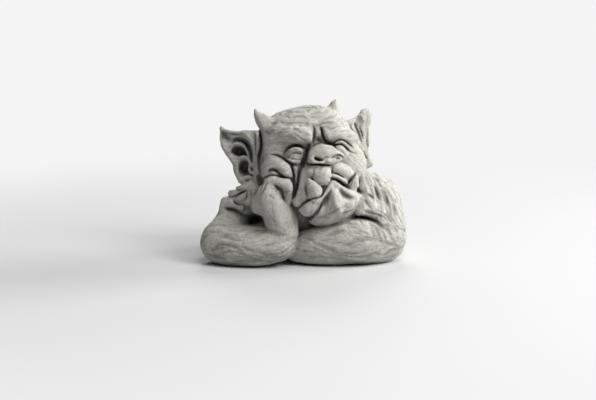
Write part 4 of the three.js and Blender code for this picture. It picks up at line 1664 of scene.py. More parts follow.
@dataclass(frozen=True)
class Head:
    """The skull with its brows, lids and cheeks, the nose, the lips and the chin.

    Attributes:
        skull_masses, chin_masses: in the head's frame.
        right_tusk_roll, left_tusk_roll: behind the board, from the root to the tip.
        forehead_lines: the wrinkles of the forehead, on the board.
    """

    skull_masses: tuple[Ball, ...] = (
        Ball((1, 4, 3), (63, 60, 54), squareness=2.5), Ball((2, -14, -30), (58, 46, 44)),
    )
    chin_masses: tuple[Ball, ...] = (Ball((7, -51, -65), (38, 28, 26)), Ball((10, -40, -83), (36, 22, 17)))
    right_tusk_roll: Path = (
        (22.6, 3, 50, 9.6), (22.2, 10, 53, 10.2), (19.4, 16, 56.5, 7.8), (16.4, 22, 59, 4.6), (13.6, 27.6, 60, 1.4),
    )
    left_tusk_roll: Path = (
        (70.5, 10, 20, 8.2), (71.6, 17, 22.5, 7.8), (73.4, 24.4, 25, 5.8), (75, 31, 26.5, 3.4), (76, 36.4, 27, 1.3),
    )
    forehead_lines: tuple[Path, ...] = (
        ((-10, 108), (5, 109), (12, 107)), ((10, 110), (25, 114), (35, 116)), ((12, 109), (22, 108), (30, 110)),
        ((22, 101), (32, 104), (42, 108), (50, 110)), ((-28, 103), (-14, 100), (0, 101), (12, 99)),
        ((-20, 112), (-8, 115), (4, 114)), ((-2, 120), (12, 121), (26, 119)), ((37, 95), (42, 93), (49, 96), (56, 97)),
        ((-40, 101), (-34, 99), (-28, 100.5)), ((-43, 97), (-42, 90), (-39, 86), (-34, 84.5)),
    )

    def skull(self, clay: Clay) -> None:
        """The skull, brows, cheeks and both eyes' lids.

        Args:
            clay: its mass.
        """
        clay.add(*self.skull_masses, melt=14, written_in=HEAD)
        self._brows(clay)
        self._cheeks(clay)
        self._open_eye(clay)
        self._squinting_eye(clay)
        self._frown(clay)

    def _brows(self, clay: Clay) -> None:
        """The two heavy brows and the wedge of flesh between them.

        Args:
            clay: the mass that it is part of.
        """
        clay.add(
            roll((-26, 87, 30, 8), (-12, 86, 39, 10), (1, 84.5, 44.5, 10.5), (11, 83.5, 46.5, 9.6)),
            lump(-30, 68, 20, (16, 14, 17), 10), roll((38, 86, 36, 8), (48, 88, 29, 11), (59, 86, 17, 11),
                                                      (70, 80, 3, 9)),
            melt=11,
        )
        clay.add(roll((24, 97, 42, 4), (25, 88, 46, 5), (28, 79, 48, 5), (31, 73, 47, 4)), melt=4)

    def _cheeks(self, clay: Clay) -> None:
        """The cheek that the fist pushes up in two rolls, and the heavy cheek on the other side.

        Args:
            clay: the mass that it is part of.
        """
        clay.add(
            Ball((38, -34, -26), (30, 28, 30)), Ball((-54, -36, -12), (20, 22, 20), (0, 16, 0)), melt=8,
            written_in=HEAD,
        )
        clay.add(lump(-24, 38, 22, (21, 20, 15)), lump(-14, 20, 18, (16, 22, 26)), melt=6)
        clay.add(lump(-50, 34, -6, (8, 16, 26)), lump(-50, 24, -20, (12, 14, 16)), melt=5)
        clay.add(
            roll((-46, 34, 27, 4.5), (-41.5, 42, 32, 5.5), (-34, 46.5, 38, 6.9), (-25.5, 46.3, 42, 8),
                 (-18, 41.5, 44, 8),
                 (-14, 35, 44, 7.2), (-12.8, 29.5, 42, 6)),
            roll((-44, 30, 30, 4), (-37, 34, 35, 4), (-30, 32.5, 37, 4), (-25, 28, 37, 4)),
            melt=2.4,
        )
        clay.add(roll((-2.6, 49, 40, 4.2), (-3, 42, 42, 3.4), (-2.4, 34, 42, 2.3), (-2, 26, 41, 1.9),
                      (-2.4, 14, 38, 1.9)),
                 melt=2)

    def _open_eye(self, clay: Clay) -> None:
        """The socket of the open eye and its lids.

        Args:
            clay: the mass that it is part of.
        """
        clay.press(lump(-3.4, 59, 50, (11.5, 12, 10.5)), melt=4)
        clay.add(
            roll((-16, 56.5, 38, 1.8), (-12.8, 61, 43, 2.5), (-8.2, 64.8, 47, 3), (-2.5, 66.2, 48.5, 3.2),
                 (3.4, 64.8, 47.5, 3.1), (7.6, 61.2, 44, 2.6), (9.6, 57.5, 41, 2)),
            roll((-16, 56.5, 38, 1.8), (-12.5, 53, 42.5, 2), (-7, 50.6, 46, 2.1), (-1, 49.7, 47, 2.1),
                 (4.6, 51, 46, 2.1),
                 (8, 54, 43, 2), (9.4, 57.5, 41, 2)),
            melt=1.6,
        )
        clay.draw_all(Mark.GROOVE, (
            ([(-20, 56.5), (-17.4, 62.8), (-11.5, 69.4), (-4, 72), (3.4, 70.8), (8.8, 67), (12, 62.5)], 1.4, 4.6),
            ([(-37, 59), (-29, 58.5), (-21, 55.5), (-14, 50.3), (-8, 47.3), (0, 46.2)], 1.5, 3.6),
            ([(-36, 62), (-31, 65), (-27, 66)], 1.5, 1.2),
        ))

    def _squinting_eye(self, clay: Clay) -> None:
        """The eye that is squeezed shut under the other brow.

        Args:
            clay: the mass that it is part of.
        """
        clay.press(lump(50, 70, 36, (13, 9, 6), 12), melt=3)
        clay.add(
            lump(54, 65, 23, (11, 10, 8), 20),
            roll((45, 72, 31, 2.5), (51, 75.2, 29.5, 3), (57, 75.6, 26, 3), (63, 71.5, 20, 3), (69, 66, 13, 2.6),
                 (78, 61, 4, 2)),
            melt=2,
        )
        clay.draw_all(Mark.GROOVE, (
            ([(46, 73), (51, 78), (57, 79), (63, 76.5), (68, 71.5), (73, 67)], 1.3, 3.2),
            ([(45, 70.5), (51, 73), (57, 73), (62, 69), (66, 64.5), (71, 62), (80, 60)], 1.2, 3.0),
        ))
        clay.draw(Mark.DENT, [(39, 73.5), (44, 72), (48, 68)], 2.4, 4.5)

    def _frown(self, clay: Clay) -> None:
        """The furrows between the brows and across the forehead.

        Args:
            clay: the mass that it is part of.
        """
        clay.settle()
        clay.draw_all(Mark.GROOVE, (
            ([(19, 98), (21.3, 92), (20.8, 84), (20, 77), (18.5, 70)], 1.4, 5.0),
            ([(28, 98), (31, 91), (32.5, 84), (35.5, 78), (41, 74.5), (48, 73)], 1.6, 6.0),
        ))
        clay.draw(Mark.DENT, [(23, 76.5), (27, 79), (31, 75)], 2.0, 2.5)
        clay.draw_all(Mark.GROOVE, (
            ([(17, 95.5), (24, 97), (31, 99.5), (38, 101), (47, 101)], 1.6, 2.6),
            ([(-10, 94), (-3, 92.5), (4, 88), (8, 86)], 1.4, 1.6), ([(-5, 87), (0, 83), (6, 79), (12, 76)], 1.3, 1.4),
        ))
        clay.draw_all(Mark.GROOVE, [(path, 1.6, 1.5) for path in self.forehead_lines])
        for across, up in ((-13, 107), (-7, 94), (1.5, 97), (17, 95), (11, 100), (12, 116)):
            clay.draw(Mark.DENT, [(across, up), (across + 1, up - 0.5)], 1.7, 1.1)

    def nose(self, clay: Clay) -> None:
        """The flat nose with its two nostrils.

        Args:
            clay: its mass.
        """
        clay.add(
            lump(33, 58.5, 49, (22, 16, 13), 5), lump(19.5, 54.5, 54, (8, 10, 8)), lump(50, 57, 43, (9, 10, 7.5), 12),
            roll((21, 64, 50, 6), (31, 67, 52, 6.5), (42, 64.5, 48, 6)),
            lump(38, 51.5, 57, (6.5, 8, 4.6)),
            melt=4,
        )
        clay.press(lump(27, 53.2, 69, (6.2, 15, 2.9), 16), melt=1.2)
        clay.press(lump(23.2, 54.5, 67, (3, 12, 2.7)), melt=1.2)
        clay.add(roll((17.5, 52.5, 62, 3), (21, 49.6, 65, 2.6), (27, 48.4, 66, 2.2), (32.5, 49.2, 65, 2.2)), melt=2)
        clay.add(roll((44, 58, 56, 2.2), (49, 61, 52.5, 2.6), (55, 60.6, 46, 2.6), (59.5, 57, 40, 2.4)), melt=2)
        clay.draw_all(Mark.GROOVE, (
            ([(43, 54.5), (46.5, 56.6), (51, 58.3), (55, 58), (58.6, 55)], 1.5, 4.6),
            ([(32, 53.5), (36, 55.6), (42, 54.6)], 1.0, 1.8),
        ))
        clay.draw(Mark.DENT, [(49, 54.8), (54.5, 54.6)], 1.9, 3.4)

    def upper_lip(self, clay: Clay) -> None:
        """The lobe under the nose and the folds to both sides of it.

        Args:
            clay: its mass.
        """
        clay.add(
            lump(30.8, 32.6, 50, (13.6, 13.5, 13.6)), lump(19, 38, 50, (11, 12, 7.5), -20),
            lump(14.5, 29, 45, (9, 9, 14)), lump(11, 6, 43, (8, 8, 11), -10),
            roll((14, 38, 47, 8), (9, 32, 46, 8), (7, 24, 44, 7.4), (5.6, 14, 42, 7.4), (3.4, 4, 41, 7.2),
                 (-0.5, -3, 40, 6.6)),
            roll((42, 43, 45, 6), (50, 42.5, 40, 8), (58, 39, 32, 9), (65, 33.5, 24, 8), (70, 28, 18, 5)),
            melt=3,
        )
        clay.add(roll((43, 33, 42, 5), (50, 30.5, 39, 5.5), (56, 27.5, 34.5, 5), (62, 23.5, 29, 4)),
                 lump(30, 42, 46, (13, 10, 6)),
                 melt=2)
        clay.add(roll((44, 33, 47, 2.4), (50, 31, 44.6, 2.8), (56, 27.6, 40, 2.6), (62, 23.6, 34, 2.2)), melt=1)
        clay.draw_all(Mark.GROOVE, (
            ([(44, 35), (50, 34.5), (56, 31.5), (62, 27)], 1.1, 2.6),
            ([(19, 45.5), (20.4, 39), (19.6, 32), (18.6, 26), (21, 21)], 1.2, 1.6),
            ([(10.6, 21), (10.4, 14), (12, 8), (15, 3)], 1.1, 2.2), ([(44, 46), (44.5, 40), (44, 33)], 1.2, 2.2),
        ))

    def jaw(self, clay: Clay) -> None:
        """The peaked lower lip and the chin that drapes onto the forearm.

        Args:
            clay: its mass.
        """
        clay.add(*self.chin_masses, melt=8, written_in=HEAD)
        clay.add(
            roll((4, -11, 42, 3.4), (7.6, -8.3, 46, 4), (14, -4.5, 50, 4.5), (22, -2, 51, 4.3), (29, 1, 52, 4),
                 (34, 8, 52, 3.8), (38, 15, 52, 3.6), (42, 21, 51, 3.6), (46, 23.2, 50, 3.6), (51, 20.2, 46, 3.6),
                 (57, 15, 40, 3.6), (63, 10, 34, 3.8), (70, 6, 26, 4.2), (79, 5, 15, 4.5)),
            lump(17.5, -11, 43, (14, 12, 11), -25), lump(13, 11, 34, (14, 12, 19)), lump(60, -3, 22, (17, 13, 14)),
            roll((44, 15, 45, 7), (47, 5, 42, 9), (49, -8, 37, 11)), roll((60, 9, 32, 6), (66, 2, 24, 9)),
            lump(55, 12, 36.5, (7, 6, 7)),
            melt=6,
        )
        clay.draw_all(Mark.DENT, (
            ([(43, 14), (41, 8), (38, 1), (35, -5)], 2.2, 1.8), ([(54, 14), (60, 7), (66, 3.4), (73, 2)], 3.4, 3.4),
        ))
        clay.draw(Mark.RIDGE, [(46, 12), (47.5, 4), (50, -7), (55, -15)], 3.0, 1.5)
        clay.draw_all(Mark.GROOVE, (
            ([(45, -3), (43, -9), (40, -14)], 1.1, 1.5),
            ([(34.5, 3), (31, -5), (26.5, -13), (20.5, -20), (13, -24.5), (5, -24)], 2.2, 4.0),
            ([(70, -3), (58, -10), (44, -16), (30, -22), (20, -25)], 1.8, 1.6),
            ([(75, 5), (76, -3), (73, -10)], 1.4, 1.4), ([(86, -4), (90, -8), (95, -11)], 1.4, 1.6),
        ))

    def right_tusk(self, clay: Clay) -> None:
        """The stout tusk below the open eye.

        Args:
            clay: its mass.
        """
        clay.add(roll(*self.right_tusk_roll), melt=1)
        clay.draw(Mark.RIDGE, [(14, 26), (19, 17), (24.5, 8), (27, 3)], 1.2, 0.5)

    def left_tusk(self, clay: Clay) -> None:
        """The shorter tusk at the corner of the mouth.

        Args:
            clay: its mass.
        """
        clay.add(roll(*self.left_tusk_roll), melt=1)
        clay.draw(Mark.RIDGE, [(75.6, 35), (73.5, 27), (70.5, 18), (68.5, 12)], 1.1, 1.0)

    def crevices(self, whole: Clay) -> None:
        """The deep cuts between the nose, the lips, the cheek and the fist.

        Args:
            whole: the melted clay.
        """
        whole.draw(Mark.DENT, [(14, 71), (11, 65), (9.4, 58), (7.6, 51), (5.6, 45)], 2.6, 9.0, near=80, far=20,
                   blunt=0.25)
        whole.draw(Mark.DENT, [(-39.5, 36.5), (-34.5, 39.6), (-28.5, 38), (-23.5, 33.5), (-18, 29.6)], 1.9, 6.0,
                   near=80, far=15)
        whole.draw(Mark.DENT, [(-50.5, 90), (-48.5, 80), (-48, 68), (-51, 56), (-51, 44), (-50, 34)], 1.9, 5.5, near=60,
                   far=-18,
                   blunt=0.3)
        whole.draw(Mark.DENT, [(-51.5, 31), (-50, 26), (-50, 21)], 3.4, 6.0, near=60, far=-12, blunt=0.3)
        whole.draw_all(Mark.GROOVE, (
            ([(7, 48), (4, 41), (1.7, 33), (0.6, 25), (-1.4, 15), (-4.4, 5)], 1.6, 3.6),
            ([(-47, 27), (-41.6, 30.4), (-36, 32.5), (-30, 32.6), (-24, 30.6), (-16, 29.8), (-9.8, 28.3), (-6.4, 24),
              (-4.6, 16), (-6, 6)], 1.2, 4.0),
            ([(-2, -11), (3.5, -9), (8, -4.4), (14, -0.4), (20.5, 2.2), (27, 3.2), (31, 6), (34.6, 11.5), (38.4, 18),
              (43, 24.5)], 1.4, 3.6),
        ), near=80, far=15, blunt=0.25)
        whole.draw_all(Mark.GROOVE, (
            ([(-9.5, 46), (-7.6, 41), (-6, 34.5), (-5.2, 28), (-4.6, 22)], 1.2, 3.0),
            ([(12, 64), (18, 69), (25, 73), (33, 74.5), (41, 72)], 1.3, 2.4),
            ([(13, 48), (20, 46.6), (27, 46.6), (34, 46), (42, 46)], 1.4, 3.2),
        ), near=80, far=15)
        whole.draw(Mark.GROOVE, [(41, 28.6), (48, 27), (55, 23.6), (61, 18.8), (67, 14.6)], 1.5, 5.0, near=80, far=0)
        whole.draw(Mark.GROOVE, [(76.5, 36), (73, 31), (69, 26), (66, 21)], 1.3, 4.0, near=80, far=-10)


# Carving


@dataclass(frozen=True)
class Carving:
    """The lines that are cut when the clay is half dry: hair on the shoulders and back, and wood-like grain.

    Attributes:
        seed: what the places of the lines come from.
        hair: width and depth of a cut between strands of hair.
        strand: those of a raised strand.
        grain, crack: those of a fine and of a bold stroke of the grain.
        wrinkle: those of a stroke round the skull.
    """

    seed: int = 11
    hair: Cut = (1.9, 2.0)
    strand: Cut = (2.2, 1.8)
    grain: Cut = (1.4, 2.3)
    crack: Cut = (2.2, 3.0)
    wrinkle: Cut = (1.6, 1.7)

    def _strokes(
        self, whole: Clay, low: Point, high: Point, count: int, flow: Callable[[Array], Array],
        length: float, cut: Cut, mark: Mark = Mark.GROOVE,
    ) -> None:
        """Cuts many lines along a flow.

        Args:
            whole: the clay.
            low, high: the box in which they start.
            count: how many there are.
            flow: gives the direction at points.
            length: of the longest.
            cut: their width and depth.
            mark: what they do.
        """
        rng = np.random.default_rng(self.seed + count)
        least, most = (0.4, 0.7, 0.5), (1.0, 1.3, 1.2)  # share of the length, of the width and of the depth
        for line in whole.trace(rng.uniform(low, high, (count, 3)), flow, length):
            share, width, depth = rng.uniform(least, most)
            line = line[:max(3, round(len(line) * share))]
            moving = np.linalg.norm(np.diff(line, axis=0), axis=1) > 2.0  # a line that is stuck ends there
            line = line[:1 + int(np.argmin(np.append(moving, False)))]
            if len(line) > 2:
                whole.stamp(mark, line, cut[0] * width, cut[1] * depth)

    def hair_strands(self, whole: Clay) -> None:
        """The hair that fans out from the ear over the left shoulder, and down the back and the right shoulder.

        Args:
            whole: the melted clay.
        """

        def fanned(points: Array) -> Array:
            """Away from the ear and down.

            Args:
                points: one point a row.

            Returns:
                The directions.
            """
            way = points - HAIR_ROOT
            way /= np.maximum(TINY, np.linalg.norm(way, axis=1))[:, None]
            return way + np.array([0.0, 0.0, -0.5]) + 0.25 * np.sin(points[:, [1, 2, 0]] / 13.0)

        def fallen(points: Array) -> Array:
            """Down the back, and outwards from the spine.

            Args:
                points: one point a row.

            Returns:
                The directions.
            """
            side = np.clip((points[:, 0] - 10) / 60, -1, 1)
            way = np.stack([0.7 * side, 0.4 * np.ones(len(points)), -np.ones(len(points))], axis=1)
            return way + 0.25 * np.sin(points[:, [2, 0, 1]] / 12.0)

        self._strokes(whole, (62, -52, 40), (134, 60, 128), 300, fanned, 44, self.hair)
        self._strokes(whole, (70, -52, 52), (130, 20, 124), 150, fanned, 38, self.strand, Mark.RIDGE)
        self._strokes(whole, (-112, 6, 50), (120, 98, 128), 640, fallen, 44, self.hair)

    def wood_grain(self, whole: Clay) -> None:
        """Strokes along the forearms, which look like old wood.

        Args:
            whole: the melted clay.
        """

        def along(points: Array) -> Array:
            """From elbow to wrist, in waves."""
            wave = 0.4 * np.sin(points[:, 0] / 16 + points[:, 2] / 9)
            return np.stack([np.ones(len(points)), np.zeros(len(points)), wave], axis=1)

        self._strokes(whole, (-132, -88, 2), (134, -30, 62), 210, along, 44, self.grain)
        self._strokes(whole, (-132, -88, 4), (134, -30, 60), 60, along, 56, self.crack)

    def forehead(self, whole: Clay) -> None:
        """Shallow strokes round the skull.

        Args:
            whole: the melted clay.
        """

        def around(points: Array) -> Array:
            """Round the skull from side to side."""
            way = np.cross(HEAD.axes[:, 2], points - np.array(HEAD.place))
            return way + 6.0 * np.sin(points[:, [1, 2, 0]] / 11.0)

        self._strokes(whole, (-60, -80, 158), (66, 50, 206), 150, around, 40, self.wrinkle)

    def shoulder_cuts(self, whole: Clay) -> None:
        """The deep cuts between the thick strands that face the viewer.

        Args:
            whole: the melted clay.
        """
        whole.draw_all(Mark.GROOVE, (
            ([(97, 30), (103, 26), (107, 20)], 2.6, 2.4),
            ([(98, 22), (101, 15), (103, 9), (105, 3), (108, -1)], 2.2, 2.8),
            ([(90, 8), (95, 5), (101, 0)], 2.0, 3.0), ([(103, 26), (106, 21), (109, 15)], 2.0, 2.2),
            ([(114, 7), (116, 1), (118, -9)], 2.4, 2.8), ([(124, -3), (126, -12), (127, -21)], 2.2, 2.4),
            ([(125, 2), (130, -6)], 1.8, 1.6), ([(85, 2), (89, -3), (95, -11)], 2.0, 2.2),
            ([(84, -14), (95, -17), (106, -20), (114, -24), (121, -30)], 1.8, 2.4),
            ([(100, -12), (110, -17), (118, -24), (124, -32)], 1.8, 2.0),
        ), near=60, far=-90)
        whole.draw(Mark.DENT, [(78, 15), (79.5, 11.5), (84, 9)], 2.4, 3.6, near=60, far=-40)
        whole.draw(Mark.DENT, [(79, -21.5), (84, -22.5), (91, -24), (99, -27), (106, -31.5), (113, -38)], 2.6, 4.4,
                   near=60, far=-70, blunt=0.4)


# Stone


def linear(code: str) -> tuple[float, float, float, float]:
    """The linear colour of an sRGB hex value.

    Args:
        code: six hex digits.

    Returns:
        Red, green, blue and 1.
    """
    parts = [int(code[i:i + 2], 16) / 255 for i in (0, 2, 4)]
    return (*(v / 12.92 if v <= 0.04045 else ((v + 0.055) / 1.055) ** 2.4 for v in parts), 1.0)


def add_node(tree: bpy.types.NodeTree, kind: str, inputs: dict | None = None, **settings: object) -> bpy.types.Node:
    """Adds a shader node.

    Args:
        tree: the nodes of the material or world.
        kind: the node's type, without the word ShaderNode.
        inputs: values, other nodes' outputs, or nodes whose first output is meant, by the input's name or number.
        **settings: the node's own settings.

    Returns:
        The new node.
    """
    node = tree.nodes.new("ShaderNode" + kind)
    for key, value in settings.items():
        setattr(node, key, value)
    for key, value in (inputs or {}).items():
        if isinstance(value, bpy.types.Node):
            value = value.outputs[0]
        if isinstance(value, bpy.types.NodeSocket):
            tree.links.new(value, node.inputs[key])
        else:
            node.inputs[key].default_value = value
    return node


def nodes_for(owner: bpy.types.Material | bpy.types.World) -> Callable[..., bpy.types.Node]:
    """Clears a material's or world's nodes.

    Args:
        owner: the material or world.

    Returns:
        What adds nodes to it.
    """
    owner.use_nodes = True
    owner.node_tree.nodes.clear()
    return partial(add_node, owner.node_tree)


def new_object(name: str, data: bpy.types.ID) -> bpy.types.Object:
    """Makes an object in the scene.

    Args:
        name: its name.
        data: its mesh, lamp or camera.

    Returns:
        The new object.
    """
    made = bpy.data.objects.new(name, data)
    bpy.context.scene.collection.objects.link(made)
    return made


def per_mm(size: float) -> float:
    """The scale of a pattern on Object coordinates, which are in metres, for a feature of so many millimetres."""
    return 1000.0 / size


@dataclass(frozen=True)
class WeatheredCastStone:
    """Cast stone: cement and fine sand poured in a mould, matt and weathered outdoors for some years.

    It gives the eye a dull grey that never shines. Light and dark cement lie in blotches, its hollows and cuts are
    painted dark, partly as dirt and old algae and partly as painted shade, fine cracks and bands follow the carving,
    and sand grains and small holes roughen it.

    Attributes:
        light, dark: the cement where it is bleached and where it is damp.
        dirt_and_shade: the dark colour that the hollows and cuts are painted with, partly dirt and partly painted
            shade.
        patch, mottle, speck: the sizes of blotches, smaller spots and single grains in the colour.
        sand: the size of a grain that is felt. It is drawn coarser than real sand, so that it shows.
        pit: how far apart small holes are.
        streak, fold: how far apart the bands and the cracks are, across the grain.
    """

    light: str = "C2C1B9"
    dark: str = "A3A29A"
    dirt_and_shade: str = "3A3A35"
    # the dark colour of the hollows and cuts: partly dirt, partly painted shade
    patch: float = 30.0
    mottle: float = 7.0
    speck: float = 1.6
    sand: float = 1.1
    pit: float = 5.0
    streak: float = 3.4
    fold: float = 12.0

    def make(self) -> bpy.types.Material:
        """Makes the material.

        Returns:
            The new material.
        """
        material = bpy.data.materials.new("weathered_cast_stone")
        add = nodes_for(material)
        place = add("TexCoord").outputs["Object"]
        along = add("Attribute", attribute_name=GRAIN).outputs["Vector"]
        narrow, wide, marked = (add("Attribute", attribute_name=name).outputs["Fac"] for name in HOLLOWS)
        patch, mottle, speck, sand, streak, fold = (
            add("TexNoise", {"Vector": where, "Scale": per_mm(size), "Detail": detail, "Roughness": roughness})
            for where, size, detail, roughness in (
                (place, self.patch, 4.0, 0.6), (place, self.mottle, 3.0, 0.6), (place, self.speck, 2.0, 0.7),
                (place, self.sand, 3.0, 0.75), (along, self.streak, 4.0, 0.65), (along, self.fold, 2.0, 0.5),
            )
        )
        pit = add("TexVoronoi", {"Vector": place, "Scale": per_mm(self.pit), "Randomness": 1.0})
        level = add("Math", {0: fold, 1: 0.5}, operation="SUBTRACT")
        from_crack = add("Math", {0: level}, operation="ABSOLUTE")
        broad, close, fleck, ripple, crack, rare, tight, deep, scored, hole = (
            add("MapRange", {"Value": value, "From Min": start, "From Max": end, "To Min": low, "To Max": high})
            for value, start, end, low, high in (  # what is mapped, from where to where, and onto what
                (patch, 0.36, 0.64, 0.0, 1.0), (mottle, 0.3, 0.7, 0.0, 1.0), (speck, 0.35, 0.7, 0.8, 1.12),
                (streak, 0.36, 0.62, 0.8, 1.04), (from_crack, 0.0, 0.022, 0.0, 1.0), (patch, 0.5, 0.58, 1.0, 0.7),
                (narrow, 0.48, 0.7, 0.0, 0.85), (wide, 0.5, 0.78, 0.0, 0.8), (marked, 0.35, 2.4, 0.0, 0.75),
                (pit, 0.0, 0.25, 0.0, 1.0),
            )
        )
        line = add("MapRange", {"Value": crack, "To Min": rare, "To Max": 1.0})
        shade = add("Math", {0: broad, 1: close}, operation="ADD")
        half = add("Math", {0: shade, 1: 0.5}, operation="MULTIPLY")
        cement = add("Mix", {"Factor": half, 6: linear(self.dark), 7: linear(self.light)}, data_type="RGBA")
        colour = cement.outputs[2]
        for tint in (fleck, ripple, line):
            colour = add("Mix", {"Factor": 1.0, 6: colour, 7: tint}, data_type="RGBA", blend_type="MULTIPLY").outputs[2]
        # The hollows and cuts are darkened towards that colour: partly dirt, partly painted shade where less light
        # reaches.
        hollow = add("Math", {0: tight, 1: deep}, operation="MAXIMUM")
        dirt_and_shade_share = add("Math", {0: hollow, 1: scored}, operation="MAXIMUM")
        stone = add("Mix", {"Factor": dirt_and_shade_share, 6: colour, 7: linear(self.dirt_and_shade)}, data_type="RGBA")
        height = add("Math", {0: sand, 1: hole}, operation="ADD")
        rough = add("Bump", {"Height": height, "Strength": 0.5, "Distance": 0.5 * MM})
        carved = add("Math", {0: ripple, 1: line}, operation="ADD")
        bump = add("Bump", {"Height": carved, "Strength": 0.8, "Distance": 1.5 * MM, "Normal": rough})
        surface = add("BsdfPrincipled", {
            "Base Color": stone.outputs[2], "Roughness": 0.92, "Specular IOR Level": 0.25, "Normal": bump,
        })
        add("OutputMaterial", {"Surface": surface})
        return material


@dataclass(frozen=True)
class Studio:
    """The pale floor that gives way to an even pale backdrop, the soft lamps and the camera.

    Attributes:
        board: where the statue is looked at from.
        shift: how far the statue's frame lies from the model's.
        backdrop: the far floor and the room as the camera sees them.
        paint: the floor itself, which shows near the statue.
        painted, bare: metres from the middle where the paint starts to give way to the backdrop, and where it ends.
        room: how strongly the room lights the statue.
        aim: the point that the lamps shine on.
        lamps: each square soft lamp's name, place, side and watts.
        picture_width: how many pixels wide the photograph is.
        pixel: how many millimetres a pixel spans at the face.
        sensor: the camera's width.
    """

    board: Board
    shift: Array
    backdrop: str = "F4F4F4"
    paint: str = "C4C4C4"
    painted: float = 0.3
    bare: float = 0.95
    room: float = 0.07
    aim: Point = (0.0, 0.0, 90.0)
    lamps: tuple[tuple[str, Point, float, float], ...] = (
        ("top_lamp", (480, -1320, 2700), 1600, 46.0), ("key_lamp", (2000, -1300, 1950), 1200, 71.0),
        ("side_lamp", (2800, 750, 850), 1200, 100.0), ("back_lamp", (0, 2300, 2000), 1400, 44.0),
    )
    picture_width: int = 596
    pixel: float = 1.31
    sensor: float = 36.0

    def _in_model(self, point: Iterable[float]) -> Vector:
        """A point of the statue's frame, in metres in the model's frame."""
        return Vector((np.asarray(point, float) - self.shift) * MM)

    def camera(self) -> None:
        """The camera, with the photograph's angle and framing."""
        data = bpy.data.cameras.new("camera")
        data.sensor_width = self.sensor
        data.lens = self.sensor * self.board.distance / (self.picture_width * self.pixel)
        camera = new_object("camera", data)
        camera.location = self._in_model(np.array(self.board.middle) + self.board.back * self.board.distance)
        camera.rotation_euler = (math.radians(90 - self.board.elevation), 0, 0)
        bpy.context.scene.camera = camera

    def floor(self) -> None:
        """A round floor, which keeps the statue's shadow and is evenly pale to the camera further out."""
        bpy.ops.object.select_all(action="DESELECT")
        bpy.ops.mesh.primitive_circle_add(vertices=96, radius=14.0, fill_type="NGON", location=(0, 0, 0))
        floor = bpy.context.active_object
        floor.name = "studio_floor"
        material = bpy.data.materials.new("painted_floor")
        add = nodes_for(material)
        far = add("VectorMath", {0: add("TexCoord").outputs["Object"]}, operation="LENGTH").outputs["Value"]
        even = add("MapRange", {"Value": far, "From Min": self.painted, "From Max": self.bare},
                   interpolation_type="SMOOTHSTEP")
        share = add("Math", {0: add("LightPath").outputs["Is Camera Ray"], 1: even}, operation="MULTIPLY")
        paint = add("BsdfDiffuse", {"Color": linear(self.paint)})
        glow = add("Emission", {"Color": linear(self.backdrop)})
        add("OutputMaterial", {"Surface": add("MixShader", {0: share, 1: paint, 2: glow})})
        floor.data.materials.append(material)

    def hang_lamps(self) -> None:
        """The lamps, which all shine on the same point."""
        for name, place, side, power in self.lamps:
            data = bpy.data.lights.new(name, "AREA")
            data.size = side * MM
            data.energy = power
            lamp = new_object(name, data)
            lamp.location = self._in_model(place)
            lamp.rotation_euler = (self._in_model(self.aim) - lamp.location).to_track_quat("-Z", "Y").to_euler()

    def world(self) -> None:
        """An even grey room, pale where the camera sees it."""
        world = bpy.data.worlds.new("studio")
        bpy.context.scene.world = world
        add = nodes_for(world)
        room = add("Background", {"Color": linear("FFFFFF"), "Strength": self.room})
        backdrop = add("Background", {"Color": linear(self.backdrop), "Strength": 1.0})
        seen = add("LightPath").outputs["Is Camera Ray"]
        add("OutputWorld", {"Surface": add("MixShader", {0: seen, 1: room, 2: backdrop})})

    def build(self) -> None:
        """Sets up the whole studio."""
        self.camera()
        self.floor()
        self.hang_lamps()
        self.world()
        bpy.context.scene.view_settings.view_transform = "Standard"


def stone_skin(points: Array) -> Array:
    """How far the weather has raised or worn the skin.

    Args:
        points: one point a row.

    Returns:
        The heights.
    """
    wide, fine, apart = 9.0, 3.5, Vector((40, 0, 0))
    return np.array([
        0.45 * noise.noise(Vector(p) / wide) + 0.3 * noise.noise(Vector(p) / fine + apart) for p in points.tolist()
    ])


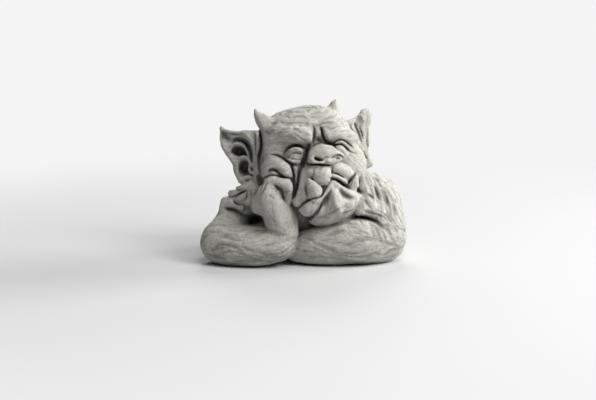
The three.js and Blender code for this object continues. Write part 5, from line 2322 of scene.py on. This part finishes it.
def main() -> None:
    """Builds the statue and its studio."""
    logging.basicConfig(level=logging.INFO, format="%(name)s: %(message)s")
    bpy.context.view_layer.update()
    eye_box = [np.array(corner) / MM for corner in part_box("right_eyeball")]
    eyeball = Eyeball()
    shift = HEAD.to_statue(np.array(eyeball.centre)) - (eye_box[0] + eye_box[1]) / 2
    shift[2] = 0.0
    log.info("shift %s", shift)
    lattice = Lattice(*STEPS)
    log.info("lattice %s", lattice.shape)
    statue = Statue(lattice)
    body, fist, head, ears, horns = Body(), Fist(), Head(), Ears(), Horns()
    for name, low, high, written_in, melt, shape in (  # the last number is how widely it melts into those before it
        ("torso", (-134, -70, -6), (142, 100, 150), STATUE, 3.0, body.torso),
        ("left_arm", (-38, -88, -6), (146, 50, 104), STATUE, 6, body.left_arm),
        ("right_arm", (-142, -96, -6), (-4, 40, 96), STATUE, 5, body.right_arm),
        ("head", (-82, -84, 80), (84, 64, 218), FACE, 3.0, head.skull),
        ("right_ear", (-120, -60, 90), (-36, 30, 192), FACE, 2.5, ears.right_ear),
        ("left_ear", (40, -20, 90), (104, 66, 206), FACE, 3, ears.left_ear),
        ("right_horn", (-80, -50, 160), (-24, 20, 214), FACE, 4, horns.right_horn),
        ("left_horn", (14, -20, 172), (70, 50, 222), FACE, 3, horns.left_horn),
        ("nose", (-24, -116, 110), (66, -40, 176), FACE, 2, head.nose),
        ("upper_lip", (-50, -108, 60), (90, -20, 156), FACE, 1.6, head.upper_lip),
        ("lower_jaw", (-70, -106, 36), (96, -6, 140), FACE, 1.6, head.jaw),
        ("right_tusk", (-10, -116, 76), (44, -70, 126), FACE, 0.6, head.right_tusk),
        ("left_tusk", (48, -90, 84), (88, -40, 134), FACE, 0.6, head.left_tusk),
        ("right_hand", (-76, -104, 22), (6, -30, 134), FACE, 1.0, fist.hand),
        ("right_finger", (-42, -104, 70), (2, -52, 128), FACE, 4, fist.finger),
    ):
        clay = Clay(lattice, name, low, high, written_in, melt)
        shape(clay)
        statue.join(clay)
        log.info("laid %s", name)
    head.crevices(statue.whole)
    statue.whole.settle()
    carving = Carving()
    for carve in (carving.hair_strands, carving.wood_grain, carving.forehead, carving.shoulder_cuts):
        carve(statue.whole)
    statue.whole.settle()
    statue.skin()
    statue.relax()
    statue.weather(stone_skin)
    statue.find_hollows(HOLLOW_WIDTHS)
    stone = WeatheredCastStone().make()
    pieces = {name: statue.piece(name, shift) for name in statue.names}
    pieces["right_eyeball"] = eyeball.build(shift)
    for name, piece in pieces.items():
        piece.data.materials.append(stone)
        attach(piece, BODY)
        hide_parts(name)
    Studio(FRONT, shift).build()


if __name__ == "__main__":
    main()
